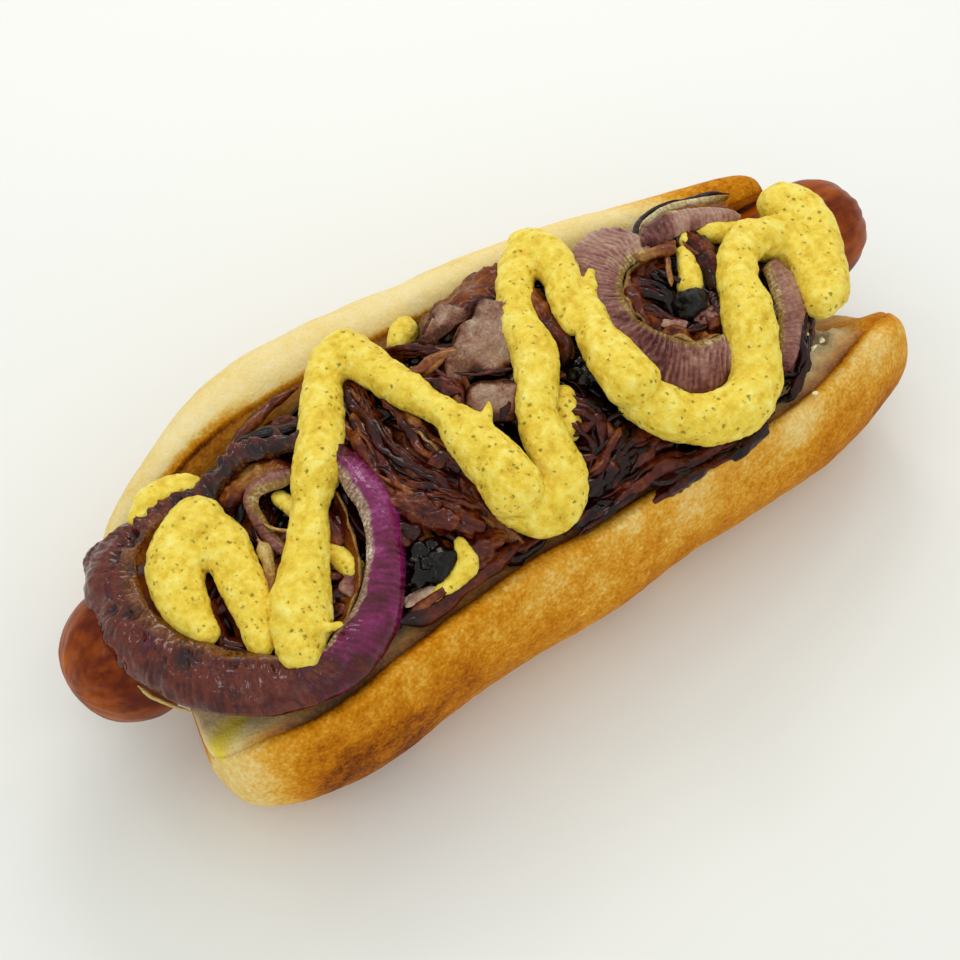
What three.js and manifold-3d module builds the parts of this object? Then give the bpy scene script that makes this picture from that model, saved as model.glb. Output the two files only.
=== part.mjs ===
// A dressed hot dog: a roll split along its length, a long smoked sausage, a bed of fried red onions with
// larger rings and petals on it, and thick mustard piped over the top.
// Millimetres, +Z up. The origin is the middle of the roll's flat underside and +X runs along the roll.
import * as THREE from 'three';
import { mergeVertices } from 'three/addons/utils/BufferGeometryUtils.js';
import Module from 'manifold-3d';

const wasm = await Module();
wasm.setup();

// ---- Driving dimensions -------------------------------------------------------------------------------

const GAP = 0.35; // air left between any two neighbours

const ROLL_RING = 36; // corners of one cross-section of the roll, starting at the trough floor
const ROLL_TIP = 8; // the corner at the near lobe's crest
const ROLL_FLAT = { near: -20, far: 15 }; // the underside that the roll rests on
const TROUGH_FLOOR = 13; // height of the bread under the sausage
// The two lobes and the hinge between them: where each one ends, how blunt it is and the height it closes at.
const NEAR_LOBE = { y: -27, left: { x: -78, z: 17, blunt: 5 }, right: { x: 82, z: 17, blunt: 3.6 } };
const FAR_LOBE = { y: 20, left: { x: -75, z: 20, blunt: 2.6 }, right: { x: 76, z: 18, blunt: 3.2 } };
const HINGE = { y: 0, left: { x: -75, z: 12, blunt: 4.4 }, right: { x: 75, z: 11, blunt: 3.4 } };
const END_PLACES = [0.82, 0.9, 0.955, 0.985, 0.998]; // cross-sections that close an end
const BODY_STEPS = 16;

const SAUSAGE = { radiusLeft: 12.5, radiusRight: 11.5, left: -94, right: 93, z: 26.2 };
const SAUSAGE_MESH = { sides: 18, bodySteps: 10, capSteps: 4 };

const HEAP = { left: -60, right: 64, middleY: -6, halfWidth: 29, bottom: 27, steps: 22, sunk: 1.6 };
const HEAP_RIM = { near: 37.5, far: 39.5 };
const SHRED = { width: 3.6, thickness: 1.9, step: 7 };

const BEAD = { step: 5.6, sides: 8, flatness: 0.88 };

// ---- Numbers that change along the roll ----------------------------------------------------------------

/** A smooth value along x through [x, value] knots, held level beyond the first and the last. */
function along(knots) {
  const places = knots.map((knot) => knot[0]);
  const values = knots.map((knot) => knot[1]);
  const curve = new THREE.CubicInterpolant(places, values, 1);
  return (x) => curve.evaluate(THREE.MathUtils.clamp(x, places[0], places.at(-1)))[0];
}

const nearCrestY = along([
  [-78, -38], [-45, -34], [-20, -32.5], [0, -33.5], [20, -36], [43, -35.5], [60, -33], [80, -29],
]);
const nearBulgeY = along([
  [-78, -42], [-58, -43], [-32, -40.5], [0, -41.5], [25, -40.5], [50, -41.5], [80, -37],
]);
const nearCrestZ = along([[-78, 36], [-55, 38], [0, 38], [45, 37.5], [80, 35]]);
const farInnerY = along([[-78, 18], [-55, 23], [-30, 22], [0, 21], [30, 18], [55, 14], [76, 8]]);
const farOuterY = along([[-78, 27], [-50, 34], [-20, 32], [0, 29.5], [25, 27], [50, 22.5], [76, 14]]);
const farCrestZ = along([[-78, 39], [-45, 41.5], [0, 40.5], [50, 37], [76, 34]]);
const crownZ = along([
  [-75, 39], [-60, 40], [-45, 43.5], [-20, 47], [0, 48], [25, 48], [45, 46], [56, 42.5], [64, 39.5],
  [72, 38.5],
]);

/** Height of the top of the onions and the sausage at (x, y), before anything that lies on them. */
function heapTop(x, y) {
  const share = Math.min(Math.abs((y - HEAP.middleY) / HEAP.halfWidth), 1);
  const rim = y < HEAP.middleY ? HEAP_RIM.near : HEAP_RIM.far;
  return rim + (crownZ(x) - rim) * (1 - share ** 2.2);
}

/** A point over the heap. */
function onHeap(x, y, lift) {
  return new THREE.Vector3(x, y, heapTop(x, y) + lift);
}

/** A repeatable random number maker. */
function seeded(seed) {
  let state = seed;
  return () => {
    state = (state * 1664525 + 1013904223) % 4294967296;
    return state / 4294967296;
  };
}

// ---- Shape helpers --------------------------------------------------------------------------------------

/** A geometry whose faces point outwards, from corner points and triangle corners. */
function closedGeometry(points, triangles) {
  let volume = 0;
  for (let i = 0; i < triangles.length; i += 3) {
    const [a, b, c] = [points[triangles[i]], points[triangles[i + 1]], points[triangles[i + 2]]];
    volume += a.dot(new THREE.Vector3().crossVectors(b, c));
  }
  if (volume < 0) triangles.reverse();
  const geometry = new THREE.BufferGeometry().setFromPoints(points);
  geometry.setIndex(triangles);
  return geometry;
}

/** Joins rings of corners into one skin. tip is the corner where the faces of an end cap start. */
function loft(rings, { endless = false, tip = 0 } = {}) {
  const size = rings[0].length;
  const triangles = [];
  const spans = endless ? rings.length : rings.length - 1;
  for (let i = 0; i < spans; i++) {
    const here = i * size;
    const next = ((i + 1) % rings.length) * size;
    for (let j = 0; j < size; j++) {
      const k = (j + 1) % size;
      triangles.push(here + j, here + k, next + k, here + j, next + k, next + j);
    }
  }
  if (!endless) {
    const last = (rings.length - 1) * size;
    for (const [a, b, c] of capFaces(size, tip)) {
      triangles.push(a, c, b, last + a, last + b, last + c);
    }
  }
  return closedGeometry(rings.flat(), triangles);
}

/** Triangles over an end ring, laid in a zigzag from the tip to the corner opposite. */
function capFaces(size, tip) {
  const faces = [];
  let [back, front] = [tip, tip + 1];
  while (faces.length < size - 2) {
    const next = faces.length % 2 === 0 ? back - 1 : front + 1;
    faces.push([back, front, next].map((corner) => (corner + size) % size));
    [back, front] = next < back ? [next, front] : [back, next];
  }
  return faces;
}

/** A geometry as a solid for cutting and joining. */
function toSolid(geometry) {
  const bare = geometry.clone();
  bare.deleteAttribute('normal');
  bare.deleteAttribute('uv');
  const merged = mergeVertices(bare, 1e-4);
  return new wasm.Manifold(new wasm.Mesh({
    numProp: 3,
    vertProperties: new Float32Array(merged.attributes.position.array),
    triVerts: new Uint32Array(merged.index.array),
  }));
}

const joined = (solids) => solids.reduce((whole, solid) => whole.add(solid));
const cutBy = (solid, others) => others.reduce((rest, other) => rest.subtract(other), solid);

/** The largest body of a solid, as a geometry: crumbs that a cut leaves over are dropped. */
function largestBody(solid) {
  const body = solid.decompose().sort((a, b) => b.volume() - a.volume())[0];
  const { numProp, vertProperties, triVerts } = body.getMesh();
  const positions = new Float32Array((vertProperties.length / numProp) * 3);
  for (let i = 0; i < positions.length / 3; i++) {
    for (let k = 0; k < 3; k++) positions[3 * i + k] = vertProperties[numProp * i + k];
  }
  const geometry = new THREE.BufferGeometry();
  geometry.setAttribute('position', new THREE.BufferAttribute(positions, 3));
  geometry.setIndex([...triVerts]);
  return mergeVertices(geometry, 1e-4);
}

// ---- The roll -------------------------------------------------------------------------------------------

/** Corners of the roll's outline at x, as [y, z, the centre that the corner shrinks to at an end]. */
function rollOutline(x) {
  const [crestY, crestZ, bulgeY] = [nearCrestY(x), nearCrestZ(x), nearBulgeY(x)];
  const [innerY, outerY, farZ] = [farInnerY(x), farOuterY(x), farCrestZ(x)];
  return [
    [0, TROUGH_FLOOR, HINGE],
    [-11, 16, HINGE],
    [-19, 26, NEAR_LOBE],
    [crestY, crestZ - 1.2, NEAR_LOBE],
    [(crestY + bulgeY) / 2, crestZ, NEAR_LOBE],
    [bulgeY + 1, crestZ - 7, NEAR_LOBE],
    [bulgeY, 20, NEAR_LOBE],
    [bulgeY + 5, 8, NEAR_LOBE],
    [bulgeY + 14, 1, NEAR_LOBE],
    [ROLL_FLAT.near, 0, NEAR_LOBE],
    [0, 0, HINGE],
    [ROLL_FLAT.far, 0, FAR_LOBE],
    [outerY - 4, 3, FAR_LOBE],
    [outerY + 6, 13, FAR_LOBE],
    [outerY + 8, 27, FAR_LOBE],
    [outerY, farZ, FAR_LOBE],
    [(innerY + outerY) / 2, farZ + 1.2, FAR_LOBE],
    [innerY, farZ - 1.5, FAR_LOBE],
    [15, 26, FAR_LOBE],
    [10, 16, HINGE],
  ];
}

/** One closed ring of the roll. place runs from -1 at the left end to 1 at the right. */
function rollRing(place, grow) {
  const reach = (part) => THREE.MathUtils.lerp(part.left.x, part.right.x, (place + 1) / 2);
  const outline = rollOutline(reach(NEAR_LOBE)).map(([y, z, part]) => {
    const end = place < 0 ? part.left : part.right;
    const size = (1 - Math.abs(place) ** end.blunt) ** (1 / end.blunt);
    return new THREE.Vector3(reach(part), part.y + (y - part.y) * size, end.z + (z - end.z) * size);
  });
  const curve = new THREE.CatmullRomCurve3(outline, true, 'centripetal');
  const ring = [];
  for (let i = 0; i < ROLL_RING; i++) {
    const point = curve.getPoint(i / ROLL_RING);
    const ahead = curve.getTangent(i / ROLL_RING);
    const out = new THREE.Vector3(0, ahead.z, -ahead.y).normalize();
    point.z = Math.max(point.z, 0);
    ring.push(point.addScaledVector(out, grow));
  }
  return ring;
}

function rollGeometry(grow = 0) {
  const evenly = Array.from({ length: BODY_STEPS - 1 }, (_, i) => (2 * (i + 1)) / BODY_STEPS - 1);
  const body = evenly.map((share) => share * END_PLACES[0]);
  const places = [...END_PLACES.map((place) => -place).reverse(), ...body, ...END_PLACES];
  return loft(places.map((place) => rollRing(place, grow)), { tip: ROLL_TIP });
}

// ---- The sausage ----------------------------------------------------------------------------------------

function sausageGeometry(grow = 0) {
  const { radiusLeft, radiusRight, left, right, z } = SAUSAGE;
  const { sides, bodySteps, capSteps } = SAUSAGE_MESH;
  const rings = [];
  const addRing = (x, radius) => {
    const corner = (angle) => new THREE.Vector3(x, Math.cos(angle) * radius, z + Math.sin(angle) * radius);
    rings.push(Array.from({ length: sides }, (_, i) => corner((2 * Math.PI * i) / sides)));
  };
  const turns = Array.from({ length: capSteps }, (_, i) => ((i + 0.35) / capSteps) * (Math.PI / 2));
  const [middleLeft, middleRight] = [left + radiusLeft, right - radiusRight];
  for (const turn of turns) {
    const radius = radiusLeft + grow;
    addRing(middleLeft - radius * Math.cos(turn), radius * Math.sin(turn));
  }
  for (let i = 0; i <= bodySteps; i++) {
    const share = i / bodySteps;
    const x = THREE.MathUtils.lerp(middleLeft, middleRight, share);
    addRing(x, THREE.MathUtils.lerp(radiusLeft, radiusRight, share) + grow);
  }
  for (const turn of turns.reverse()) {
    const radius = radiusRight + grow;
    addRing(middleRight + radius * Math.cos(turn), radius * Math.sin(turn));
  }
  return loft(rings);
}

// ---- Onion layers ---------------------------------------------------------------------------------------

/** A layer of onion between two edge lines, as thick as wall. */
function layer(edgeA, edgeB, wall, steps, { endless = false, grow = 0 } = {}) {
  const lineA = new THREE.CatmullRomCurve3(edgeA, endless, 'centripetal');
  const lineB = new THREE.CatmullRomCurve3(edgeB, endless, 'centripetal');
  const count = endless ? steps : steps + 1;
  const rings = [];
  for (let i = 0; i < count; i++) {
    const share = i / steps;
    const [a, b] = [lineA.getPoint(share), lineB.getPoint(share)];
    const middle = a.clone().add(b).multiplyScalar(0.5);
    const across = b.clone().sub(a);
    const half = across.length() / 2 + grow;
    across.normalize();
    const ahead = lineA.getTangent(share).add(lineB.getTangent(share)).normalize();
    const out = new THREE.Vector3().crossVectors(ahead, across).normalize();
    const atEnd = !endless && (i === 0 || i === steps);
    const slim = atEnd ? 0.5 : 1;
    const thick = (wall / 2) * slim + grow;
    if (atEnd) middle.addScaledVector(ahead, i === 0 ? -grow : grow);
    const corner = (u, v) => middle.clone().addScaledVector(across, u).addScaledVector(out, v);
    const rounded = Math.max(half - wall * 0.3, half * 0.4);
    rings.push([
      corner(-half, 0), corner(-rounded, -thick), corner(rounded, -thick),
      corner(half, 0), corner(rounded, thick), corner(-rounded, thick),
    ]);
  }
  return loft(rings, { endless });
}

/** A narrow strip along a line of points, lying flat. */
function strip(points, width, thickness, grow = 0) {
  const line = new THREE.CatmullRomCurve3(points, false, 'centripetal');
  const steps = Math.max(3, Math.round(line.getLength() / SHRED.step));
  const rings = [];
  for (let i = 0; i <= steps; i++) {
    const share = i / steps;
    const middle = line.getPoint(share);
    const ahead = line.getTangent(share);
    const side = new THREE.Vector3(-ahead.y, ahead.x, 0).normalize();
    const up = new THREE.Vector3().crossVectors(ahead, side).normalize();
    const slim = i === 0 || i === steps ? 0.45 : 1;
    const [half, thick] = [(width / 2) * slim + grow, (thickness / 2) * slim + grow];
    if (grow && i === 0) middle.addScaledVector(ahead, -grow);
    if (grow && i === steps) middle.addScaledVector(ahead, grow);
    rings.push([[-1, -0.4], [0.6, -1], [1, 0.4], [-0.6, 1]].map(([u, v]) => (
      middle.clone().addScaledVector(side, u * half).addScaledVector(up, v * thick)
    )));
  }
  return loft(rings);
}

// ---- The heap of fried onions ---------------------------------------------------------------------------

const heapNearY = (x) => nearCrestY(x) + 3;
const heapFarY = along([[-60, 12], [-42, 14], [-22, 18], [0, 21], [30, 17], [50, 13], [64, 8]]);

// Hollows in the heap inside the large ring and the ribbed slice: [x, y, radius, depth].
const HOLLOWS = [[-62, -8, 9, 5], [33, -6, 6, 4]];

function coreTop(x, y) {
  let z = heapTop(x, y) - HEAP.sunk;
  for (const [hx, hy, radius, depth] of HOLLOWS) {
    const away = Math.hypot(x - hx, y - hy) / radius;
    z -= depth * Math.exp(-away * away);
  }
  return z;
}

/** The core under the shreds: it fills the opened roll round the sausage. */
function heapCore(grow = 0) {
  const rings = [];
  const across = 10;
  for (let i = 0; i <= HEAP.steps; i++) {
    const share = i / HEAP.steps;
    const x = THREE.MathUtils.lerp(HEAP.left - grow, HEAP.right + grow, share);
    const fade = Math.sqrt(Math.max(1 - Math.abs(2 * share - 1) ** 7, 0.1));
    const [near, far] = [heapNearY(x) * fade - grow, heapFarY(x) * fade + grow];
    const ring = [];
    for (let j = 0; j <= across; j++) {
      const y = THREE.MathUtils.lerp(near, far, j / across);
      const drop = Math.abs((2 * j) / across - 1) ** 6 * 3 + (1 - fade) * 8;
      ring.push(new THREE.Vector3(x, y, coreTop(x, y) - drop + grow));
    }
    for (const y of [far * 0.85, far * 0.5, near * 0.5, near * 0.85]) {
      ring.push(new THREE.Vector3(x, y, HEAP.bottom - grow));
    }
    rings.push(ring);
  }
  return loft(rings);
}

// Where shreds show: middle, spread, heading in degrees from +X, how much the heading varies, and how many.
const SHRED_BEDS = [
  { x: 20, y: -26, spreadX: 34, spreadY: 7, heading: 8, swing: 14, count: 18, length: 24 },
  { x: -27, y: -12, spreadX: 10, spreadY: 14, heading: -72, swing: 26, count: 16, length: 24 },
  { x: -38, y: 9, spreadX: 14, spreadY: 6, heading: 20, swing: 30, count: 8, length: 20 },
  { x: 4, y: 2, spreadX: 14, spreadY: 16, heading: -50, swing: 60, count: 12, length: 18 },
  { x: 50, y: -6, spreadX: 9, spreadY: 15, heading: 60, swing: 40, count: 8, length: 16 },
];

// A shred is tried at each of these heights over the heap, and left out where it would cross a topping.
const SHRED_LIFTS = [1, 0.2, -0.6, -1.3];

/** The shreds that fit round the toppings. */
function shredsClearOf(toppings) {
  const random = seeded(11);
  const spread = (size) => (random() * 2 - 1) * size;
  const kept = [];
  for (const bed of SHRED_BEDS) {
    for (let i = 0; i < bed.count; i++) {
      const [x, y] = [bed.x + spread(bed.spreadX), bed.y + spread(bed.spreadY)];
      const heading = THREE.MathUtils.degToRad(bed.heading + spread(bed.swing));
      const length = bed.length * (0.75 + random() * 0.5);
      const bend = spread(4);
      const width = SHRED.width * (0.75 + random() * 0.6);
      const pointsAt = (lift) => [-0.5, -0.17, 0.17, 0.5].map((share) => {
        const [ahead, aside] = [share * length, bend * (1 - 4 * share * share)];
        const px = x + Math.cos(heading) * ahead - Math.sin(heading) * aside;
        const py = y + Math.sin(heading) * ahead + Math.cos(heading) * aside;
        const inside = THREE.MathUtils.clamp(py, heapNearY(px) - 2, heapFarY(px) + 1);
        return onHeap(px, inside, lift - Math.abs(share) * 2);
      });
      const tries = SHRED_LIFTS.map((lift) => toSolid(strip(pointsAt(lift), width, SHRED.thickness)));
      const fitting = tries.find((shred) => shred.intersect(toppings).isEmpty());
      if (fitting) kept.push(fitting);
    }
  }
  return kept;
}

// ---- Named onion pieces ---------------------------------------------------------------------------------

// Each piece lists its two edges as [x, y, lift over the heap].
const edge = (points) => points.map(([x, y, lift]) => onHeap(x, y, lift));

// The large red ring lies over the left end: its cut edge faces up and its skin leans outwards.
const LEFT_RING_TOP = [
  [-37, -4, 4], [-39, -13, 4], [-43, -22, 4.2], [-49, -28, 4.2], [-58, -31, 4], [-68, -28, 4], [-75, -21, 4],
  [-78, -12, 3.6], [-78, -3, 3.4], [-75, 5, 3], [-66, 9, 3], [-56, 11, 3], [-46, 12, 3], [-39, 8, 3.4],
];
const LEFT_RING_BOTTOM = [
  [-33, -2, 0.5], [-34, -13, 0.2], [-37, -23, 0.5], [-43, -31, 1.6], [-56, -36.5, 1.6], [-70, -33, 0.5],
  [-80, -22, -2.6], [-83.5, -11, -4], [-84, 1, -4], [-80, 11, -1.6], [-69, 14.5, 1.8], [-57, 15.5, 1.6],
  [-44, 16, 1.4], [-35, 10, 1],
];

// The ribbed slice curls round the charred hollow on the right.
const SLICE_OUTER = [
  [39, 8.5, 1], [37, 13.5, 1], [32, 14.5, 1.2], [26.5, 9, 1.4], [22.5, 3, 1.4], [19, -5.5, 1.4],
  [18, -13.5, 1.4], [19, -20.5, 1.4], [24, -26, 1.6], [30, -28, 1.8], [35, -27, 1.8], [39.5, -25, 1.8],
];
const SLICE_INNER = [
  [37.5, 2.5, 2], [34.5, 4.5, 2.4], [30.5, 3.5, 2.6], [27, 0.5, 2.6], [24, -3.5, 2.6], [23, -8, 2.6],
  [23.5, -12.5, 2.6], [26, -16, 2.4], [31, -19, 2.4], [35.5, -20.5, 2.2], [39, -19.5, 2.2], [42, -18.5, 2.2],
];

// A loop of cut onion stands on the slice, towards the far side.
const CURL_UPPER = [
  [35, 1.5, 4.5], [37, 5.5, 5], [41.5, 8, 5.4], [47, 8.5, 6], [53, 8, 6], [59, 7.5, 6], [64, 6, 5.4],
];
const CURL_LOWER = [
  [38.5, 1.5, 2.4], [41, 4, 2.2], [45, 6, 2.2], [48.5, 7, 2], [52.5, 6.5, 2], [56.5, 4.5, 2], [61, 2.5, 2.2],
];

// A band that shows on the right, between the mustard and the bread.
const BAND_OUTER = [
  [59, -10.5, 1.4], [60, -15, 1.2], [57, -21, 1.2], [52, -26, 1.2], [47, -30, 1.4], [43.5, -32, 1.6],
];
const BAND_INNER = [
  [55.5, -11.5, 2.6], [53, -16.5, 2.6], [51, -21, 2.6], [47, -25, 2.6], [44, -28, 2.4], [40, -30, 2.4],
];

// A small loop inside the large ring.
const SMALL_CURL_OUTER = [[-57, -5, 0.6], [-55.5, 1, 1], [-51.5, 6, 1.4], [-46, 6.5, 1.6], [-43, 2, 1.4]];
const SMALL_CURL_INNER = [[-53, -6, 2.6], [-52.4, -1, 3], [-50, 2, 3.4], [-47, 2.2, 3.2], [-45.4, -0.5, 2.8]];

// Folded petals in the middle, and a soft one at the left.
const UPPER_PETAL_OUTER = [[-5, 17, 1], [2, 22.5, 1], [9, 23, 1.2], [14, 18, 1.6]];
const UPPER_PETAL_INNER = [[-8, 9, 2], [-2, 9.5, 2.6], [4, 9, 2.8], [9, 9.5, 2.4]];
const MIDDLE_PETAL_OUTER = [[5, 6, 2], [4, -1, 2.2], [-1, -7, 2.2], [-6, -11, 1.8]];
const MIDDLE_PETAL_INNER = [[-3, 8.5, 1.4], [-6, 2, 1.6], [-9, -3, 1.6], [-12, -8, 1.2]];
const LEFT_PETAL_OUTER = [[-58, 6, 0.4], [-51, 12.5, 0.6], [-43, 15.5, 0.6], [-35, 14, 0.8]];
const LEFT_PETAL_INNER = [[-56, 2, 0.6], [-50, 8, 0.8], [-43, 10, 1], [-37, 8.5, 1]];

// A thin strip along the near edge of the roll.
const RIM_STRIP = [[-45, -31.5, 1], [-39, -32.5, 1.2], [-32, -32, 1.4], [-25, -31.5, 1.2], [-19, -31, 0.6]];

const LAYERS = {
  onion_ring_left: {
    edges: [LEFT_RING_TOP, LEFT_RING_BOTTOM], wall: 2.8, steps: 44, endless: true, color: 0x5e2036,
  },
  onion_slice_right: { edges: [SLICE_OUTER, SLICE_INNER], wall: 2.4, steps: 24, color: 0x8a5560 },
  onion_curl_right: { edges: [CURL_UPPER, CURL_LOWER], wall: 2.0, steps: 14, color: 0x9a6a6a },
  onion_band_right: { edges: [BAND_OUTER, BAND_INNER], wall: 2.2, steps: 9, color: 0x86585c },
  onion_curl_left: { edges: [SMALL_CURL_OUTER, SMALL_CURL_INNER], wall: 1.8, steps: 10, color: 0x8f6064 },
  onion_petal_upper: { edges: [UPPER_PETAL_OUTER, UPPER_PETAL_INNER], wall: 1.8, steps: 8, color: 0x7b4b36 },
  onion_petal_middle: {
    edges: [MIDDLE_PETAL_OUTER, MIDDLE_PETAL_INNER], wall: 1.8, steps: 8, color: 0x93706c,
  },
  onion_petal_left: { edges: [LEFT_PETAL_OUTER, LEFT_PETAL_INNER], wall: 1.8, steps: 9, color: 0x75603a },
};

function layerSolid(name, grow) {
  const { edges, wall, steps, endless = false } = LAYERS[name];
  return toSolid(layer(edge(edges[0]), edge(edges[1]), wall, steps, { endless, grow }));
}

// ---- Mustard --------------------------------------------------------------------------------------------

/** A piped bead with round ends through [x, y, radius, lift] points. */
function bead(points, grow = 0) {
  const middles = points.map(([x, y, , lift]) => onHeap(x, y, lift));
  const line = new THREE.CatmullRomCurve3(middles, false, 'centripetal');
  const last = points.length - 1;
  const radiusAt = (share) => {
    const place = share * last;
    const i = Math.min(Math.floor(place), last - 1);
    return THREE.MathUtils.lerp(points[i][2], points[i + 1][2], place - i);
  };
  const steps = Math.max(3, Math.round(line.getLength() / BEAD.step));
  const rings = [];
  const addRing = (share, push, size) => {
    const ahead = line.getTangent(share);
    const side = new THREE.Vector3(-ahead.y, ahead.x, 0).normalize();
    const up = new THREE.Vector3().crossVectors(ahead, side).normalize();
    const radius = radiusAt(share);
    const middle = line.getPoint(share).addScaledVector(ahead, push * (radius + grow));
    const [wide, high] = [(radius + grow) * size, (radius * BEAD.flatness + grow) * size];
    const ring = [];
    for (let i = 0; i < BEAD.sides; i++) {
      const angle = (2 * Math.PI * i) / BEAD.sides;
      const corner = middle.clone().addScaledVector(side, Math.cos(angle) * wide);
      ring.push(corner.addScaledVector(up, Math.sin(angle) * high));
    }
    rings.push(ring);
  };
  addRing(0, -0.92, 0.4);
  addRing(0, -0.6, 0.8);
  for (let i = 0; i <= steps; i++) addRing(i / steps, 0, 1);
  addRing(1, 0.6, 0.8);
  addRing(1, 0.92, 0.4);
  return toSolid(loft(rings));
}

// The piped zigzag, leg by leg, as [x, y, radius, lift].
const ZIGZAG = [
  [
    [-62.5, -27.5, 5, 4], [-59.5, -23, 6, 3.6], [-55.5, -18, 5.2, 3.2], [-49.5, -12.5, 4.5, 3.2],
    [-44, -6, 4.4, 3.2], [-37.5, 2, 4.3, 3.2], [-32, 10.5, 4.3, 3.4], [-25, 18, 4.6, 4.4],
    [-21, 19, 4.6, 4.4],
  ],
  [
    [-21, 19, 4.6, 4.4], [-20, 10.5, 4.6, 3.4], [-19, 3, 4.4, 3.2], [-17, -5, 4.6, 3.2],
    [-16, -14, 5.6, 3.4], [-15.5, -22, 6.2, 3.8], [-15.5, -27.5, 6.2, 4.6],
  ],
  [
    [-15, -28.5, 5, 4.6], [-10.5, -31, 5.4, 4.6], [-6, -25.5, 5, 3.8], [-5, -20, 4.6, 3.4],
    [-3, -14.5, 4.4, 3.2], [1.5, -10, 4.6, 3.2], [4, -3.5, 4.4, 3.2], [8, 5, 4, 3.2],
    [14.5, 13.5, 4, 3.4], [20.5, 17, 4.6, 4.6],
  ],
  [[20.5, 17, 4.6, 4.6], [21, 11, 4.6, 3.8], [19, 4, 4.4, 3.2], [16, -3, 3.6, 3.4]],
  [
    [19.5, -1.5, 2.4, 3.2], [14.5, -8.5, 4.4, 3.4], [11.5, -14.5, 5, 3.6], [12, -21, 5.4, 4],
    [15, -26.5, 5.6, 4.6], [19.5, -31, 5.4, 5], [26, -33.5, 5.2, 5], [34, -33, 5, 4.6],
    [39.5, -29.5, 4.9, 4], [42, -24.5, 4.8, 3.6], [44.5, -17.5, 4.8, 3.4], [50, -10.5, 4.8, 3.4],
    [57.5, -5.5, 5, 3.4],
  ],
  [
    [57.5, -5.5, 5, 3.4], [65, -7.5, 5, 3.4], [64, -14.5, 4.6, 3.4], [60.5, -22.5, 4.4, 3.8],
    [58, -27, 4, 4.4],
  ],
  [[70.5, -0.5, 5, 3.6], [72, -4, 5.4, 3.6], [69.5, -11, 5, 3.6], [64.5, -19.5, 4.6, 4], [60, -26, 4, 4.6]],
];

// The wide inverted V inside the large ring, and a smear on the bread behind it.
const V_LEGS = [
  [
    [-62.5, 5, 5.4, 3], [-67.5, 2, 6.2, 3], [-71, -3, 6.4, 3], [-72.5, -8, 5.8, 3], [-72.5, -14.5, 3.6, 3],
  ],
  [[-62.5, 5, 5, 3], [-61.5, -2, 4.8, 3], [-63, -10, 4.5, 3], [-65.5, -17, 4.2, 3], [-66, -21.5, 3.8, 3.2]],
];
const SMEAR = [[-66.5, 14, 2.8, 2.4], [-62.5, 14, 3, 2.2], [-59, 12.5, 2.6, 2.2]];

// Small dabs on the heap: [x, y, radius, lift].
const DABS = [
  [-9, 19, 3, 0], [2, -17, 3.2, 0], [-31.5, -28.5, 3.6, 0.4], [-46.5, -17, 3, 0], [-48, -21.5, 3, 0],
  [40.5, -5, 3.4, 0], [55.5, 0.5, 3, 0.4],
];

function dab([x, y, radius, lift]) {
  const ball = new THREE.SphereGeometry(radius, 7, 4);
  ball.scale(1, 1, 0.7);
  return ball.translate(...onHeap(x, y, lift));
}

// ---- The charred scrap ----------------------------------------------------------------------------------

const CHAR = { x: 36.5, y: -10.5, radius: 3.4, lift: 1.2 };

function charGeometry(grow = 0) {
  const lump = new THREE.IcosahedronGeometry(CHAR.radius, 1);
  const place = onHeap(CHAR.x, CHAR.y, CHAR.lift);
  const points = lump.attributes.position;
  for (let i = 0; i < points.count; i++) {
    const spot = new THREE.Vector3().fromBufferAttribute(points, i);
    const bump = 1 + 0.14 * Math.sin(2.1 * spot.x + 1.3 * spot.y) * Math.cos(1.7 * spot.z - 0.8 * spot.x);
    spot.multiplyScalar(bump + grow / CHAR.radius);
    points.setXYZ(i, place.x + spot.x, place.y + spot.y * 0.9, place.z + spot.z * 0.85);
  }
  return lump;
}

// ---- Putting it together --------------------------------------------------------------------------------

const group = new THREE.Group();

/** Adds one closed body under its name. */
function add(name, geometry, color, roughness) {
  const mesh = new THREE.Mesh(geometry, new THREE.MeshStandardMaterial({ color, roughness, metalness: 0 }));
  mesh.name = name;
  group.add(mesh);
}

add('roll', rollGeometry(), 0xd9a860, 0.75);
add('sausage', sausageGeometry(), 0x8a3c18, 0.35);

// Each topping is cut back from what it lies on: the roll, the sausage, the heap's core and earlier toppings.
const bed = [toSolid(rollGeometry(GAP)), toSolid(sausageGeometry(GAP))];
const toppings = [];

/** Adds a topping. solidAt makes it larger by what it is given. */
function addTopping(name, solidAt, color, roughness) {
  const core = toSolid(heapCore(GAP));
  add(name, largestBody(cutBy(solidAt(0), [...bed, core, ...toppings])), color, roughness);
  toppings.push(solidAt(GAP));
}

for (const [name, { color }] of Object.entries(LAYERS)) {
  addTopping(name, (grow) => layerSolid(name, grow), color, 0.35);
}
addTopping('onion_strip_near', (grow) => toSolid(strip(edge(RIM_STRIP), 3, 1.5, grow)), 0x5a2412, 0.35);
addTopping('charred_bit', (grow) => toSolid(charGeometry(grow)), 0x151515, 0.6);

const MUSTARD = 0xe0c23a;
const piped = (legs) => (grow) => joined(legs.map((leg) => bead(leg, grow)));
addTopping('mustard_left', piped(V_LEGS), MUSTARD, 0.5);
addTopping('mustard_smear', piped([SMEAR]), MUSTARD, 0.5);
addTopping('mustard_zigzag', piped(ZIGZAG), MUSTARD, 0.5);

const over = joined(toppings);
const dabs = DABS.map((spot) => toSolid(dab(spot)).subtract(over));
const heap = joined([toSolid(heapCore()), ...shredsClearOf(over), ...dabs]);
add('onion_heap', largestBody(cutBy(heap, bed)), 0x4a2018, 0.4);

export default group;
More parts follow.
